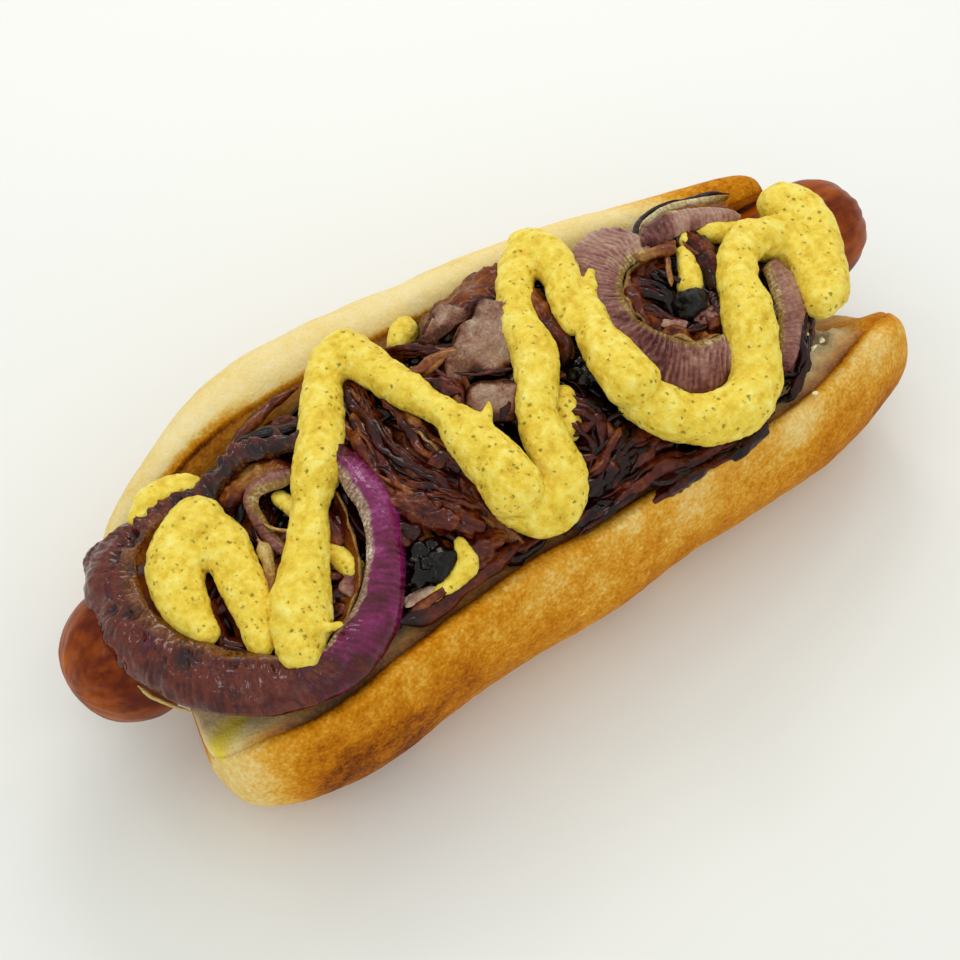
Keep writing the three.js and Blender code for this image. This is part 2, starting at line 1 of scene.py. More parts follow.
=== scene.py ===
"""Looks of a dressed hot dog: a split crusty roll, a smoked sausage, fried red onions and piped mustard.

Shapes are worked out in millimetres and written to the meshes in metres. The origin is the middle of the
roll's flat underside, +X runs along the roll, +Y towards the pale lobe and +Z is up.
"""

from __future__ import annotations

import itertools
import logging
import math
from dataclasses import dataclass, field
from enum import Enum
from typing import Any, Callable, Sequence

import bpy
import numpy as np
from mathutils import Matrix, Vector

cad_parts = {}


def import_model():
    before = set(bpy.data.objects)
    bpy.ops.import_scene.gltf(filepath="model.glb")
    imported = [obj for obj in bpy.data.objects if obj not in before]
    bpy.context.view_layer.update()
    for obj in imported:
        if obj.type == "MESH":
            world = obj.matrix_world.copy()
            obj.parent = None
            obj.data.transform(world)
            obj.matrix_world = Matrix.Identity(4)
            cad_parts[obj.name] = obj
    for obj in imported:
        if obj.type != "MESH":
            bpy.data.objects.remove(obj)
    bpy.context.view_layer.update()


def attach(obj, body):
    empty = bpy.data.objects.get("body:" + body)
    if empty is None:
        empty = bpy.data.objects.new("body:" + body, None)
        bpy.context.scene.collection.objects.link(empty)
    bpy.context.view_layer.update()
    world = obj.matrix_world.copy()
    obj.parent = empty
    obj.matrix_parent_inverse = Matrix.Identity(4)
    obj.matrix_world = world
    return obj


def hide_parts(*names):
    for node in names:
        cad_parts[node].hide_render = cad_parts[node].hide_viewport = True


LOG = logging.getLogger("hot_dog")
MM = 0.001

Array = np.ndarray
Knots = Sequence[tuple[float, float]]
Spots = Sequence[tuple[float, ...]]
Tree = bpy.types.NodeTree
Socket = bpy.types.NodeSocket


# ---- Numbers along the roll ----------------------------------------------------------------------------


def along(knots: Knots) -> Callable[[Any], Array]:
    """Makes a smooth value along x.

    Args:
        knots: [x, value] pairs in order of x.

    Returns:
        A function of x, held level beyond the first and the last knot.
    """
    places = np.array([knot[0] for knot in knots], float)
    values = np.array([knot[1] for knot in knots], float)

    def value_at(x: Any) -> Array:
        """The value at x."""
        x = np.clip(np.asarray(x, float), places[0], places[-1])
        i = np.clip(np.searchsorted(places, x, side="right"), 1, len(places) - 1)
        before, after = places[i - 1], places[i]
        first, last = i - 1 == 0, i == len(places) - 1
        back = np.where(first, after, places[np.maximum(i - 2, 0)])
        ahead = np.where(last, before, places[np.minimum(i + 1, len(places) - 1)])
        value_back = np.where(first, values[i], values[np.maximum(i - 2, 0)])
        value_ahead = np.where(last, values[i - 1], values[np.minimum(i + 1, len(places) - 1)])
        half = (after - before) * 0.5
        wp, wn = half / (before - back), half / (ahead - after)
        p = (x - before) / (after - before)
        pp, ppp = p * p, p * p * p
        return (
            (-wp * ppp + 2 * wp * pp - wp * p) * value_back
            + ((1 + wp) * ppp + (-1.5 - 2 * wp) * pp + (-0.5 + wp) * p + 1) * values[i - 1]
            + ((-1 - wn) * ppp + (1.5 + wn) * pp + 0.5 * p) * values[i]
            + (wn * ppp - wn * pp) * value_ahead
        )

    return value_at


NEAR_CREST_Y = along([
    (-78, -33.5), (-66, -35.6), (-45, -34), (-20, -32.5), (0, -33.5), (20, -34.6), (43, -35), (56, -32.6),
    (67, -29.5), (80, -26),
])
NEAR_BULGE_Y = along([(-78, -42), (-58, -43), (-32, -40.5), (0, -41.5), (25, -40.5), (50, -41.5), (80, -38)])
NEAR_CREST_Z = along([(-78, 38), (-55, 38.5), (0, 38), (45, 37.5), (80, 37)])
FAR_INNER_Y = along([(-78, 18), (-55, 23), (-30, 22), (0, 21), (30, 18), (55, 12.5), (68, 8), (80, 6.5)])
FAR_OUTER_Y = along([
    (-78, 27), (-50, 34), (-20, 32), (0, 29.5), (25, 27), (50, 22), (60, 18.8), (68, 16), (80, 13),
])
FAR_CREST_Z = along([(-78, 39), (-45, 41.5), (0, 40.5), (25, 39), (50, 38), (60, 38.5), (68, 40), (80, 42)])
CROWN_Z = along([
    (-75, 39), (-60, 40), (-45, 43.5), (-20, 47), (0, 48), (25, 48), (45, 46), (56, 42.5), (64, 39.5),
    (72, 38.5),
])
HEAP_FAR_Y = along([(-60, 12), (-42, 14), (-22, 18), (0, 21), (30, 17), (50, 13), (64, 8)])
# Crumb shows between the onions and the near crest: where it starts, where it is full, and how wide it is.
CRUMB_START = 44.0
CRUMB_FULL = 58.0
CRUMB_WIDTH = 9.0
HEAP_MIDDLE_Y = -6.0
HEAP_HALF_WIDTH = 29.0
HEAP_RIM_NEAR = 37.5
HEAP_RIM_FAR = 39.5


def heap_top(x: Any, y: Any) -> Array:
    """Height of the top of the onions and the sausage, in millimetres, before anything that lies on them."""
    share = np.minimum(np.abs((np.asarray(y, float) - HEAP_MIDDLE_Y) / HEAP_HALF_WIDTH), 1)
    rim = np.where(np.asarray(y) < HEAP_MIDDLE_Y, HEAP_RIM_NEAR, HEAP_RIM_FAR)
    return rim + (CROWN_Z(x) - rim) * (1 - share**2.2)


def on_heap(spots: Spots) -> Array:
    """Points over the heap from [x, y, lift] rows; further numbers in a row are left out."""
    rows = np.array([spot[:3] for spot in spots], float)
    rows[:, 2] += heap_top(rows[:, 0], rows[:, 1])
    return rows


def heap_near(x: Any) -> Array:
    """Where the onions end on the near side: at the crest, and short of it where crumb shows."""
    return NEAR_CREST_Y(x) + CRUMB_WIDTH * ease(CRUMB_START, CRUMB_FULL, x)


# ---- Curves, noise and meshes --------------------------------------------------------------------------


def spline(points: Array, shares: Array, closed: bool = False) -> Array:
    """Points of a centripetal curve through given points.

    Args:
        points: rows of [x, y, z].
        shares: places along the curve, from 0 to 1.
        closed: whether the curve runs back to its start.

    Returns:
        One row for each share.
    """
    count = len(points)
    place = np.asarray(shares, float) * (count if closed else count - 1)
    i = np.floor(place).astype(int)
    if closed:
        w = place - i
        p0, p1, p2, p3 = (points[(i + k) % count] for k in (-1, 0, 1, 2))
    else:
        i = np.clip(i, 0, count - 2)
        w = place - i
        long = np.vstack([2 * points[0] - points[1], points, 2 * points[-1] - points[-2]])
        p0, p1, p2, p3 = (long[i + k] for k in (0, 1, 2, 3))
    gap = [np.maximum(np.linalg.norm(b - a, axis=1), 1e-8) ** 0.5 for a, b in ((p0, p1), (p1, p2), (p2, p3))]
    g0, g1, g2 = (g[:, None] for g in gap)
    t1 = ((p1 - p0) / g0 - (p2 - p0) / (g0 + g1) + (p2 - p1) / g1) * g1
    t2 = ((p2 - p1) / g1 - (p3 - p1) / (g1 + g2) + (p3 - p2) / g2) * g1
    w = w[:, None]
    return p1 + t1 * w + (-3 * p1 + 3 * p2 - 2 * t1 - t2) * w**2 + (2 * p1 - 2 * p2 + t1 + t2) * w**3


def unit(rows: Array) -> Array:
    """Rows scaled to a length of one."""
    return rows / np.maximum(np.linalg.norm(rows, axis=-1, keepdims=True), 1e-9)


# Turns the cells of the noise, so that no piece lies along them.
TILT = np.array([[0.36, 0.48, -0.8], [-0.8, 0.6, 0], [0.48, 0.64, 0.6]])
SEED_STEP = 17.13
# Large odd numbers that mix a cell's place and its seed into a random number.
MIX_X, MIX_Y, MIX_Z, MIX_SEED, MIX_LAST = 73856093, 19349663, 83492791, 26544357, 1274126177


def blobs(points: Array, size: float, seed: int) -> Array:
    """Smooth noise in space.

    Args:
        points: rows of [x, y, z] in millimetres.
        size: width of a blob in millimetres.
        seed: which noise.

    Returns:
        A number from -1 to 1 for each row.
    """
    cell = points @ TILT / size + seed * SEED_STEP
    base = np.floor(cell).astype(np.int64)
    part = cell - base
    part = part**3 * (part * (part * 6 - 15) + 10)
    total = np.zeros(points.shape[:-1])
    for corner in itertools.product((0, 1), repeat=3):
        spot = base + np.array(corner)
        mixed = spot[..., 0] * MIX_X ^ spot[..., 1] * MIX_Y ^ spot[..., 2] * MIX_Z ^ seed * MIX_SEED
        mixed = (mixed ^ (mixed >> 13)) * MIX_LAST & 0x7FFFFFFF
        mixed = (mixed ^ (mixed >> 16)) & 0xFFFF
        weight = np.prod(np.where(corner, part, 1 - part), axis=-1)
        total = total + weight * (mixed / 32767.5 - 1)
    return total


def crumple(points: Array, size: float, seed: int) -> Array:
    """Sharp folds between soft hollows, from 0 in a fold to 1, as on crumpled skin."""
    first = np.abs(blobs(points, size, seed))
    second = np.abs(blobs(points, size * 0.47, seed + 1))
    return 1 - (0.65 * first + 0.35 * second) * 1.6


def ease(low: float, high: float, value: Any) -> Array:
    """A smooth step from 0 at low to 1 at high."""
    share = np.clip((np.asarray(value, float) - low) / (high - low), 0, 1)
    return share * share * (3 - 2 * share)


def band(rise: tuple[float, float], fall: tuple[float, float], value: Array) -> Array:
    """A smooth step up over rise and down again over fall."""
    return ease(*rise, value) * (1 - ease(*fall, value))


def even(value: float) -> Knots:
    """Knots that hold one value all along."""
    return ((0, value), (1, value))


def full_turn(corners: int) -> Array:
    """Evenly spaced angles, one for each corner of a closed ring."""
    return np.arange(corners) / corners * 2 * math.pi


def ball(rows: int, corners: int, tip: float) -> Array:
    """Rings of points on a ball of radius one. tip is the angle that stays open about each pole."""
    polar = np.linspace(tip, math.pi - tip, rows)
    angle = full_turn(corners)
    return np.stack([
        np.sin(polar)[:, None] * np.cos(angle),
        np.sin(polar)[:, None] * np.sin(angle),
        np.cos(polar)[:, None] + 0 * angle,
    ], axis=-1)


def tube_faces(rings: int, corners: int, endless: bool) -> Array:
    """Four-sided faces between rings of corners."""
    spans = rings if endless else rings - 1
    i, j = np.meshgrid(np.arange(spans), np.arange(corners), indexing="ij")
    k, n = (j + 1) % corners, (i + 1) % rings
    faces = np.stack([i * corners + j, i * corners + k, n * corners + k, n * corners + j], axis=-1)
    return faces.reshape(-1, 4)


def cap_faces(corners: int, tip: int, start: int) -> list[tuple[int, ...]]:
    """Faces over an end ring, laid across it in steps from its tip corner.

    Args:
        corners: how many corners the ring has; an even number.
        tip: the corner where the steps start.
        start: number of the ring's first vertex.

    Returns:
        Corner numbers of each face.
    """
    faces = []
    for k in range(corners // 2):
        ring = [tip - k, tip + k, tip + k + 1, tip - k - 1]
        face = list(dict.fromkeys((corner % corners) + start for corner in ring))
        if len(face) > 2:
            faces.append(tuple(face))
    return faces


def closed_faces(rings: int, corners: int, tip: int = 0, start: int = 0) -> list[Sequence[int]]:
    """Faces of a tube that is closed at both ends.

    Args:
        rings: how many rings of corners there are.
        corners: how many corners each ring has; an even number.
        tip: the corner where the faces of an end start.
        start: number of the tube's first vertex.

    Returns:
        Vertex numbers of each face.
    """
    faces: list[Sequence[int]] = (tube_faces(rings, corners, endless=False) + start).tolist()
    faces += [tuple(reversed(face)) for face in cap_faces(corners, tip, start)]
    return faces + cap_faces(corners, tip, start + (rings - 1) * corners)


def put_in_scene(name: str, data: bpy.types.ID) -> bpy.types.Object:
    """Makes an object of a mesh, a lamp or a camera, at the origin."""
    made = bpy.data.objects.new(name, data)
    bpy.context.scene.collection.objects.link(made)
    return made


def store_marks(mesh: bpy.types.Mesh, marks: dict[str, Array]) -> None:
    """Stores named numbers on a mesh, one for each vertex."""
    for name, values in marks.items():
        attribute = mesh.attributes.new(name, "FLOAT", "POINT")
        attribute.data.foreach_set("value", np.asarray(values, np.float32).ravel())


def make_object(
    name: str, points: Array, faces: Sequence[Sequence[int]], marks: dict[str, Array]
) -> bpy.types.Object:
    """Makes a smooth mesh object whose faces point outwards.

    Args:
        name: the piece's name.
        points: rows of [x, y, z] in millimetres.
        faces: vertex numbers of each face.
        marks: named numbers, one for each vertex, that the material reads.

    Returns:
        The object, at the origin.
    """
    first_three = np.array([tuple(face[:3]) for face in faces])
    a, b, c = (points[first_three[:, k]] for k in range(3))
    if np.einsum("ij,ij->i", a, np.cross(b, c)).sum() < 0:
        faces = [tuple(reversed(face)) for face in faces]
    mesh = bpy.data.meshes.new(name)
    mesh.from_pydata((points * MM).tolist(), [], [tuple(int(v) for v in face) for face in faces])
    mesh.shade_smooth()
    store_marks(mesh, marks)
    return put_in_scene(name, mesh)


def make_paths(name: str, paths: Sequence[Array], marks: dict[str, Sequence[Array]]) -> bpy.types.Object:
    """Makes an object of open lines, for a tree that turns each line into a strip.

    Args:
        name: the piece's name.
        paths: for each line, rows of [x, y, z] in millimetres.
        marks: named numbers, as one array for each line.

    Returns:
        The object.
    """
    points = np.vstack(paths)
    edges, start = [], 0
    for path in paths:
        edges += [(start + i, start + i + 1) for i in range(len(path) - 1)]
        start += len(path)
    mesh = bpy.data.meshes.new(name)
    mesh.from_pydata((points * MM).tolist(), edges, [])
    store_marks(mesh, {label: np.concatenate(values) for label, values in marks.items()})
    return put_in_scene(name, mesh)


# ---- Node trees ----------------------------------------------------------------------------------------


def linear(colour: str) -> tuple[float, float, float, float]:
    """A hex sRGB colour as linear red, green, blue and alpha."""
    channels = [int(colour[i : i + 2], 16) / 255 for i in (1, 3, 5)]
    straight = [c / 12.92 if c <= 0.04045 else ((c + 0.055) / 1.055) ** 2.4 for c in channels]
    return (*straight, 1.0)


def add_node(
    tree: Tree,
    kind: str,
    inputs: dict[Any, Any] | None = None,
    output: int = 0,
    stops: Sequence[tuple[float, str]] = (),
    **settings: Any,
) -> Socket:
    """Adds one node with its settings and links.

    Args:
        tree: the tree that gets the node.
        kind: Blender's name of the node's type.
        inputs: a socket to link from, or a value, for each input by name or number.
        output: number of the output that is wanted.
        stops: places and hex colours of a colour ramp.
        **settings: properties of the node.

    Returns:
        The wanted output socket.
    """
    made = tree.nodes.new(kind)
    for key, value in settings.items():
        setattr(made, key, value)
    for i, (place, colour) in enumerate(stops):
        elements = made.color_ramp.elements
        element = elements[i] if i < len(elements) else elements.new(place)
        element.position = place
        element.color = linear(colour)
    for key, value in (inputs or {}).items():
        socket = made.inputs[key]
        if isinstance(value, Socket):
            tree.links.new(value, socket)
        else:
            socket.default_value = linear(value) if str(value).startswith("#") else value
    return made.outputs[output] if len(made.outputs) else None


def maths(tree: Tree, operation: str, *values: Any) -> Socket:
    """A calculation on sockets or numbers."""
    return add_node(tree, "ShaderNodeMath", dict(enumerate(values)), operation=operation)


def noise_at(
    tree: Tree, place: Socket, scale: float, detail: float, roughness: float = 0.5, output: int = 0
) -> Socket:
    """Noise at a place: a number, or a colour with output 1."""
    inputs = {"Vector": place, "Scale": scale, "Detail": detail, "Roughness": roughness}
    return add_node(tree, "ShaderNodeTexNoise", inputs, output)


def ramp(tree: Tree, factor: Socket, stops: Sequence[tuple[float, str]]) -> Socket:
    """A colour from a number."""
    return add_node(tree, "ShaderNodeValToRGB", {"Fac": factor}, stops=stops)


def mix(tree: Tree, share: Socket, first: Any, second: Any) -> Socket:
    """A colour between two colours."""
    return add_node(tree, "ShaderNodeMix", {0: share, 6: first, 7: second}, 2, data_type="RGBA")


def bumps(tree: Tree, height: Socket, strength: float, distance: float) -> Socket:
    """A normal with relief as deep as distance, in metres."""
    return add_node(tree, "ShaderNodeBump", {"Strength": strength, "Distance": distance, "Height": height})


def object_place(tree: Tree) -> Socket:
    """A point's place in the object's own frame."""
    return add_node(tree, "ShaderNodeTexCoord", output=3)


def surface(tree: Tree, inputs: dict[str, Any]) -> None:
    """Ends a material with its one shader."""
    shader = add_node(tree, "ShaderNodeBsdfPrincipled", inputs)
    add_node(tree, "ShaderNodeOutputMaterial", {"Surface": shader})


def new_material(name: str) -> tuple[bpy.types.Material, Tree]:
    """An empty material and its tree."""
    made = bpy.data.materials.new(name)
    made.use_nodes = True
    made.node_tree.nodes.clear()
    return made, made.node_tree


def new_shape_tree(name: str, inputs: dict[str, tuple[str, Any]]) -> tuple[Tree, bpy.types.Node]:
    """Starts a geometry tree.

    Args:
        name: the tree's name.
        inputs: for each named input, the rest of its socket type's name and its first value.

    Returns:
        The tree and its input node.
    """
    tree = bpy.data.node_groups.new(name, "GeometryNodeTree")
    tree.interface.new_socket("Geometry", in_out="INPUT", socket_type="NodeSocketGeometry")
    tree.interface.new_socket("Geometry", in_out="OUTPUT", socket_type="NodeSocketGeometry")
    for label, (kind, value) in inputs.items():
        socket = tree.interface.new_socket(label, in_out="INPUT", socket_type="NodeSocket" + kind)
        if value is not None:
            socket.default_value = value
    return tree, tree.nodes.new("NodeGroupInput")


def grow(made: bpy.types.Object, tree: Tree, values: dict[str, Any]) -> bpy.types.Object:
    """Runs a geometry tree on an object, after any modifier it has, and keeps the result as its plain mesh.

    Args:
        made: the object.
        tree: the geometry tree.
        values: a value for each of the tree's named inputs.

    Returns:
        The same object.
    """
    modifier = made.modifiers.new(tree.name, "NODES")
    modifier.node_group = tree
    for item in tree.interface.items_tree:
        if item.item_type == "SOCKET" and item.in_out == "INPUT" and item.name in values:
            modifier[item.identifier] = values[item.name]
    return settle(made)


def settle(made: bpy.types.Object) -> bpy.types.Object:
    """Turns what an object's modifiers give into its plain mesh."""
    bpy.context.view_layer.update()
    graph = bpy.context.evaluated_depsgraph_get()
    mesh = bpy.data.meshes.new_from_object(made.evaluated_get(graph), depsgraph=graph)
    made.modifiers.clear()
    made.data = mesh
    mesh.name = made.name
    mesh.shade_smooth()
    return made


def strip_tree() -> Tree:
    """Turns lines with a width and a twist into rippled strips, as thin as fried onion."""
    tree, given = new_shape_tree("onion_strips", {
        "Thickness share": ("Float", 0.3),
        "Sides": ("Int", 8),
        "Ridges": ("Float", 1.8),
        "Ripple height": ("Float", 0.0005),
        "Ripple size": ("Float", 0.003),
        "Seed": ("Int", 1),
        "Finish": ("Material", None),
    })
    marks = {
        name: add_node(tree, "GeometryNodeInputNamedAttribute", {"Name": name}, data_type="FLOAT")
        for name in ("width", "twist")
    }
    line = add_node(tree, "GeometryNodeMeshToCurve", {0: given.outputs["Geometry"]})
    line = add_node(tree, "GeometryNodeSetCurveNormal", {"Curve": line}, mode="Z_UP")
    line = add_node(tree, "GeometryNodeSetCurveTilt", {"Curve": line, "Tilt": marks["twist"]})
    ring = add_node(
        tree, "GeometryNodeCurvePrimitiveCircle", {"Resolution": given.outputs["Sides"], "Radius": 0.5},
    )
    around = add_node(tree, "GeometryNodeInputPosition")
    ridge = noise_at(tree, around, 5.5, 2.0)
    ridge = maths(tree, "SUBTRACT", ridge, 0.5)
    ridge = maths(tree, "MULTIPLY", ridge, given.outputs["Ridges"])
    ridge = add_node(tree, "ShaderNodeVectorMath", {0: around, "Scale": ridge}, operation="SCALE")
    ring = add_node(tree, "GeometryNodeSetPosition", {"Geometry": ring, "Offset": ridge})
    flat = add_node(tree, "ShaderNodeCombineXYZ", {0: 1.0, 1: given.outputs["Thickness share"], 2: 1.0})
    ring = add_node(tree, "GeometryNodeTransform", {"Geometry": ring, "Scale": flat})
    skin = add_node(tree, "GeometryNodeCurveToMesh", {
        "Curve": line, "Profile Curve": ring, "Scale": marks["width"], "Fill Caps": True,
    })
    place = add_node(tree, "GeometryNodeInputPosition")
    size = maths(tree, "DIVIDE", 1.0, given.outputs["Ripple size"])
    ripples = add_node(
        tree, "ShaderNodeTexNoise",
        {"Vector": place, "W": given.outputs["Seed"], "Scale": size, "Detail": 1.5}, 1, noise_dimensions="4D",
    )
    middled = add_node(tree, "ShaderNodeVectorMath", {0: ripples, 1: (0.5, 0.5, 0.5)}, operation="SUBTRACT")
    push = add_node(
        tree, "ShaderNodeVectorMath", {0: middled, "Scale": given.outputs["Ripple height"]}, operation="SCALE"
    )
    skin = add_node(tree, "GeometryNodeSetPosition", {"Geometry": skin, "Offset": push})
    skin = add_node(tree, "GeometryNodeRealizeInstances", {"Geometry": skin})
    skin = add_node(tree, "GeometryNodeSetMaterial", {"Geometry": skin, "Material": given.outputs["Finish"]})
    add_node(tree, "NodeGroupOutput", {"Geometry": skin})
    return tree


def lump_tree() -> Tree:
    """Gives a smooth body two sizes of soft lumps, as thick mustard has."""
    tree, given = new_shape_tree("mustard_lumps", {
        "Lump height": ("Float", 0.0004),
        "Lump size": ("Float", 0.004),
        "Grain height": ("Float", 0.00012),
        "Grain size": ("Float", 0.0011),
        "Seed": ("Int", 3),
        "Finish": ("Material", None),
    })
    place = add_node(tree, "GeometryNodeInputPosition")
    normal = add_node(tree, "GeometryNodeInputNormal")
    heights = []
    for kind in ("Lump", "Grain"):
        size = maths(tree, "DIVIDE", 1.0, given.outputs[kind + " size"])
        lumps = add_node(
            tree, "ShaderNodeTexNoise",
            {"Vector": place, "W": given.outputs["Seed"], "Scale": size, "Detail": 2.0},
            noise_dimensions="4D",
        )
        middled = maths(tree, "SUBTRACT", lumps, 0.5)
        heights.append(
            maths(tree, "MULTIPLY", middled, given.outputs[kind + " height"])
        )
    height = maths(tree, "ADD", heights[0], heights[1])
    # the height is kept for the material, which paints shade in the hollows and light on the tops of the
    # lumps
    raised = maths(tree, "MULTIPLY", height, 1000.0)
    marked = add_node(tree, "GeometryNodeStoreNamedAttribute", {
        "Geometry": given.outputs["Geometry"], "Name": "raised", "Value": raised,
    })
    push = add_node(tree, "ShaderNodeVectorMath", {0: normal, "Scale": height}, operation="SCALE")
    skin = add_node(tree, "GeometryNodeSetPosition", {"Geometry": marked, "Offset": push})
    skin = add_node(tree, "GeometryNodeRealizeInstances", {"Geometry": skin})
    skin = add_node(tree, "GeometryNodeSetMaterial", {"Geometry": skin, "Material": given.outputs["Finish"]})
    add_node(tree, "NodeGroupOutput", {"Geometry": skin})
    return tree


# ---- Finishes ------------------------------------------------------------------------------------------


def mark(tree: Tree, name: str) -> Socket:
    """A piece's own named number."""
    return add_node(tree, "ShaderNodeAttribute", output=2, attribute_name=name)


@dataclass(frozen=True)
class BreadFinish:
    """Baked wheat crust and its crumb: dry and matt, from cream through gold to a brown edge."""

    name: str = "baked_bread"
    bake_colours: tuple[tuple[float, str], ...] = (
        (0.0, "#F4E6BC"), (0.16, "#EFD48A"), (0.34, "#E0A63C"), (0.5, "#CE8614"), (0.66, "#B66A04"),
        (0.82, "#8E4A02"), (1.0, "#552402"),
    )
    crumb_colours: tuple[tuple[float, str], ...] = ((0.25, "#DEC48E"), (0.5, "#F6E4B6"), (0.78, "#FFFAE8"))
    smear_colour: str = "#EED440"
    roughness: float = 0.58

    def material(self) -> bpy.types.Material:
        """Builds the material: mottled browning by the bake mark, and pores where the crumb mark is high."""
        made, tree = new_material(self.name)
        place = object_place(tree)
        # browning in spots of about 2.6 mm, with blisters of 0.7 mm
        spots = noise_at(tree, place, 380.0, 4.0, 0.62)
        blisters = noise_at(tree, place, 1500.0, 3.0)
        spread = maths(tree, "SUBTRACT", spots, 0.5)
        fine = maths(tree, "SUBTRACT", blisters, 0.5)
        # pale crust is smooth, brown crust is mottled
        bake = mark(tree, "bake")
        depth = add_node(tree, "ShaderNodeMapRange", {
            "Value": bake, "From Min": 0.1, "From Max": 0.42, "To Min": 0.16, "To Max": 0.56,
        })
        mottled = maths(tree, "MULTIPLY_ADD", spread, depth, bake)
        mottled = maths(tree, "MULTIPLY_ADD", fine, depth, mottled)
        crust = ramp(tree, mottled, self.bake_colours)
        pores = noise_at(tree, place, 900.0, 5.0, 0.7)
        crumb = ramp(tree, pores, self.crumb_colours)
        bread = mix(tree, mark(tree, "crumb"), crust, crumb)
        bread = mix(tree, mark(tree, "smear"), bread, self.smear_colour)
        height = maths(tree, "MULTIPLY_ADD", blisters, 0.6, spots)
        bump = bumps(tree, height, 0.55, 0.0005)
        surface(tree, {
            "Base Color": bread, "Roughness": self.roughness, "Normal": bump, "IOR": 1.45,
            "Specular IOR Level": 0.05, "Subsurface Weight": 0.06, "Subsurface Radius": (1.0, 0.6, 0.3),
            "Subsurface Scale": 0.0012,
        })
        return made


@dataclass(frozen=True)
class SausageFinish:
    """Smoked pork sausage in its casing: a tight glossy skin, redder where it is scorched at the tips, and
    painted darker along its underside as shade.
    """

    name: str = "smoked_sausage_skin"
    colours: tuple[tuple[float, str], ...] = (
        (0.0, "#260803"), (0.3, "#642004"), (0.55, "#9E4A08"), (0.8, "#C46A10"), (1.0, "#DA8C2C"),
    )
    roughness: float = 0.4

    def material(self) -> bpy.types.Material:
        """Builds the material: streaks along the skin over cloudy patches."""
        made, tree = new_material(self.name)
        place = object_place(tree)
        drawn = add_node(tree, "ShaderNodeMapping", {"Vector": place, "Scale": (0.22, 1.0, 1.0)})
        streaks = noise_at(tree, drawn, 620.0, 3.0)
        clouds = noise_at(tree, place, 130.0, 4.0)
        tone = maths(tree, "MULTIPLY_ADD", streaks, 0.36, -0.1)
        tone = maths(tree, "MULTIPLY_ADD", clouds, 0.85, tone)
        # darker where the skin is scorched, and darker on the underside as painted shade
        tone = maths(tree, "SUBTRACT", tone, mark(tree, "scorch_and_painted_shade"))
        colour = ramp(tree, tone, self.colours)
        bump = bumps(tree, streaks, 0.35, 0.0004)
        surface(tree, {
            "Base Color": colour, "Roughness": self.roughness, "Normal": bump, "IOR": 1.45,
            "Coat Weight": 0.2, "Specular IOR Level": 0.04, "Coat Roughness": 0.18,
            "Subsurface Weight": 0.08, "Subsurface Radius": (1.0, 0.3, 0.1), "Subsurface Scale": 0.0015,
        })
        return made


@dataclass(frozen=True)
class MustardFinish:
    """Thick mustard with ground seed: satin and soft, with painted shade in its hollows and painted light on
    its lumps, sprinkled with olive specks.
    """

    name: str = "seeded_mustard"
    shade: str = "#D4AC24"
    body: str = "#F2D44C"
    light: str = "#FBEC80"
    speck: str = "#76641A"
    roughness: float = 0.44

    def material(self) -> bpy.types.Material:
        """Builds the material: cloudy yellow, darker in the hollows and paler on the lumps as painted shade
        and light, with ragged specks of up to a millimetre.
        """
        made, tree = new_material(self.name)
        place = object_place(tree)
        clouds = noise_at(tree, place, 560.0, 4.0, 0.65)
        grain = noise_at(tree, place, 1200.0, 3.0)
        # painted shade and light: the lumps' height darkens the hollows and pales the tops
        tone = maths(tree, "MULTIPLY_ADD", mark(tree, "raised"), 0.6, clouds)
        paste = ramp(tree, tone, ((0.2, self.shade), (0.5, self.body), (0.8, self.light)))
        frayed = noise_at(tree, place, 2400.0, 1.0, output=1)
        frayed = add_node(
            tree, "ShaderNodeVectorMath", {0: frayed, 1: (0.0009, 0.0009, 0.0009), 2: place},
            operation="MULTIPLY_ADD",
        )
        cells = add_node(
            tree, "ShaderNodeTexVoronoi", {"Vector": frayed, "Scale": 860.0, "Randomness": 1.0}, feature="F1"
        )
        chance = add_node(tree, "ShaderNodeSeparateColor", {"Color": cells.node.outputs["Color"]})
        reach = maths(tree, "SUBTRACT", chance, 0.36)
        reach = maths(tree, "MULTIPLY", reach, 0.62)
        inside = maths(tree, "SUBTRACT", reach, cells.node.outputs["Distance"])
        soft = add_node(
            tree, "ShaderNodeMapRange",
            {"Value": inside, "From Min": -0.06, "From Max": 0.16, "To Max": 0.8},
        )
        colour = mix(tree, soft, paste, self.speck)
        bump = bumps(tree, grain, 0.6, 0.0006)
        surface(tree, {
            "Base Color": colour, "Roughness": self.roughness, "Normal": bump, "IOR": 1.45,
            "Specular IOR Level": 0.2, "Subsurface Weight": 0.12, "Subsurface Radius": (1.0, 0.7, 0.15),
            "Subsurface Scale": 0.0016,
        })
        return made


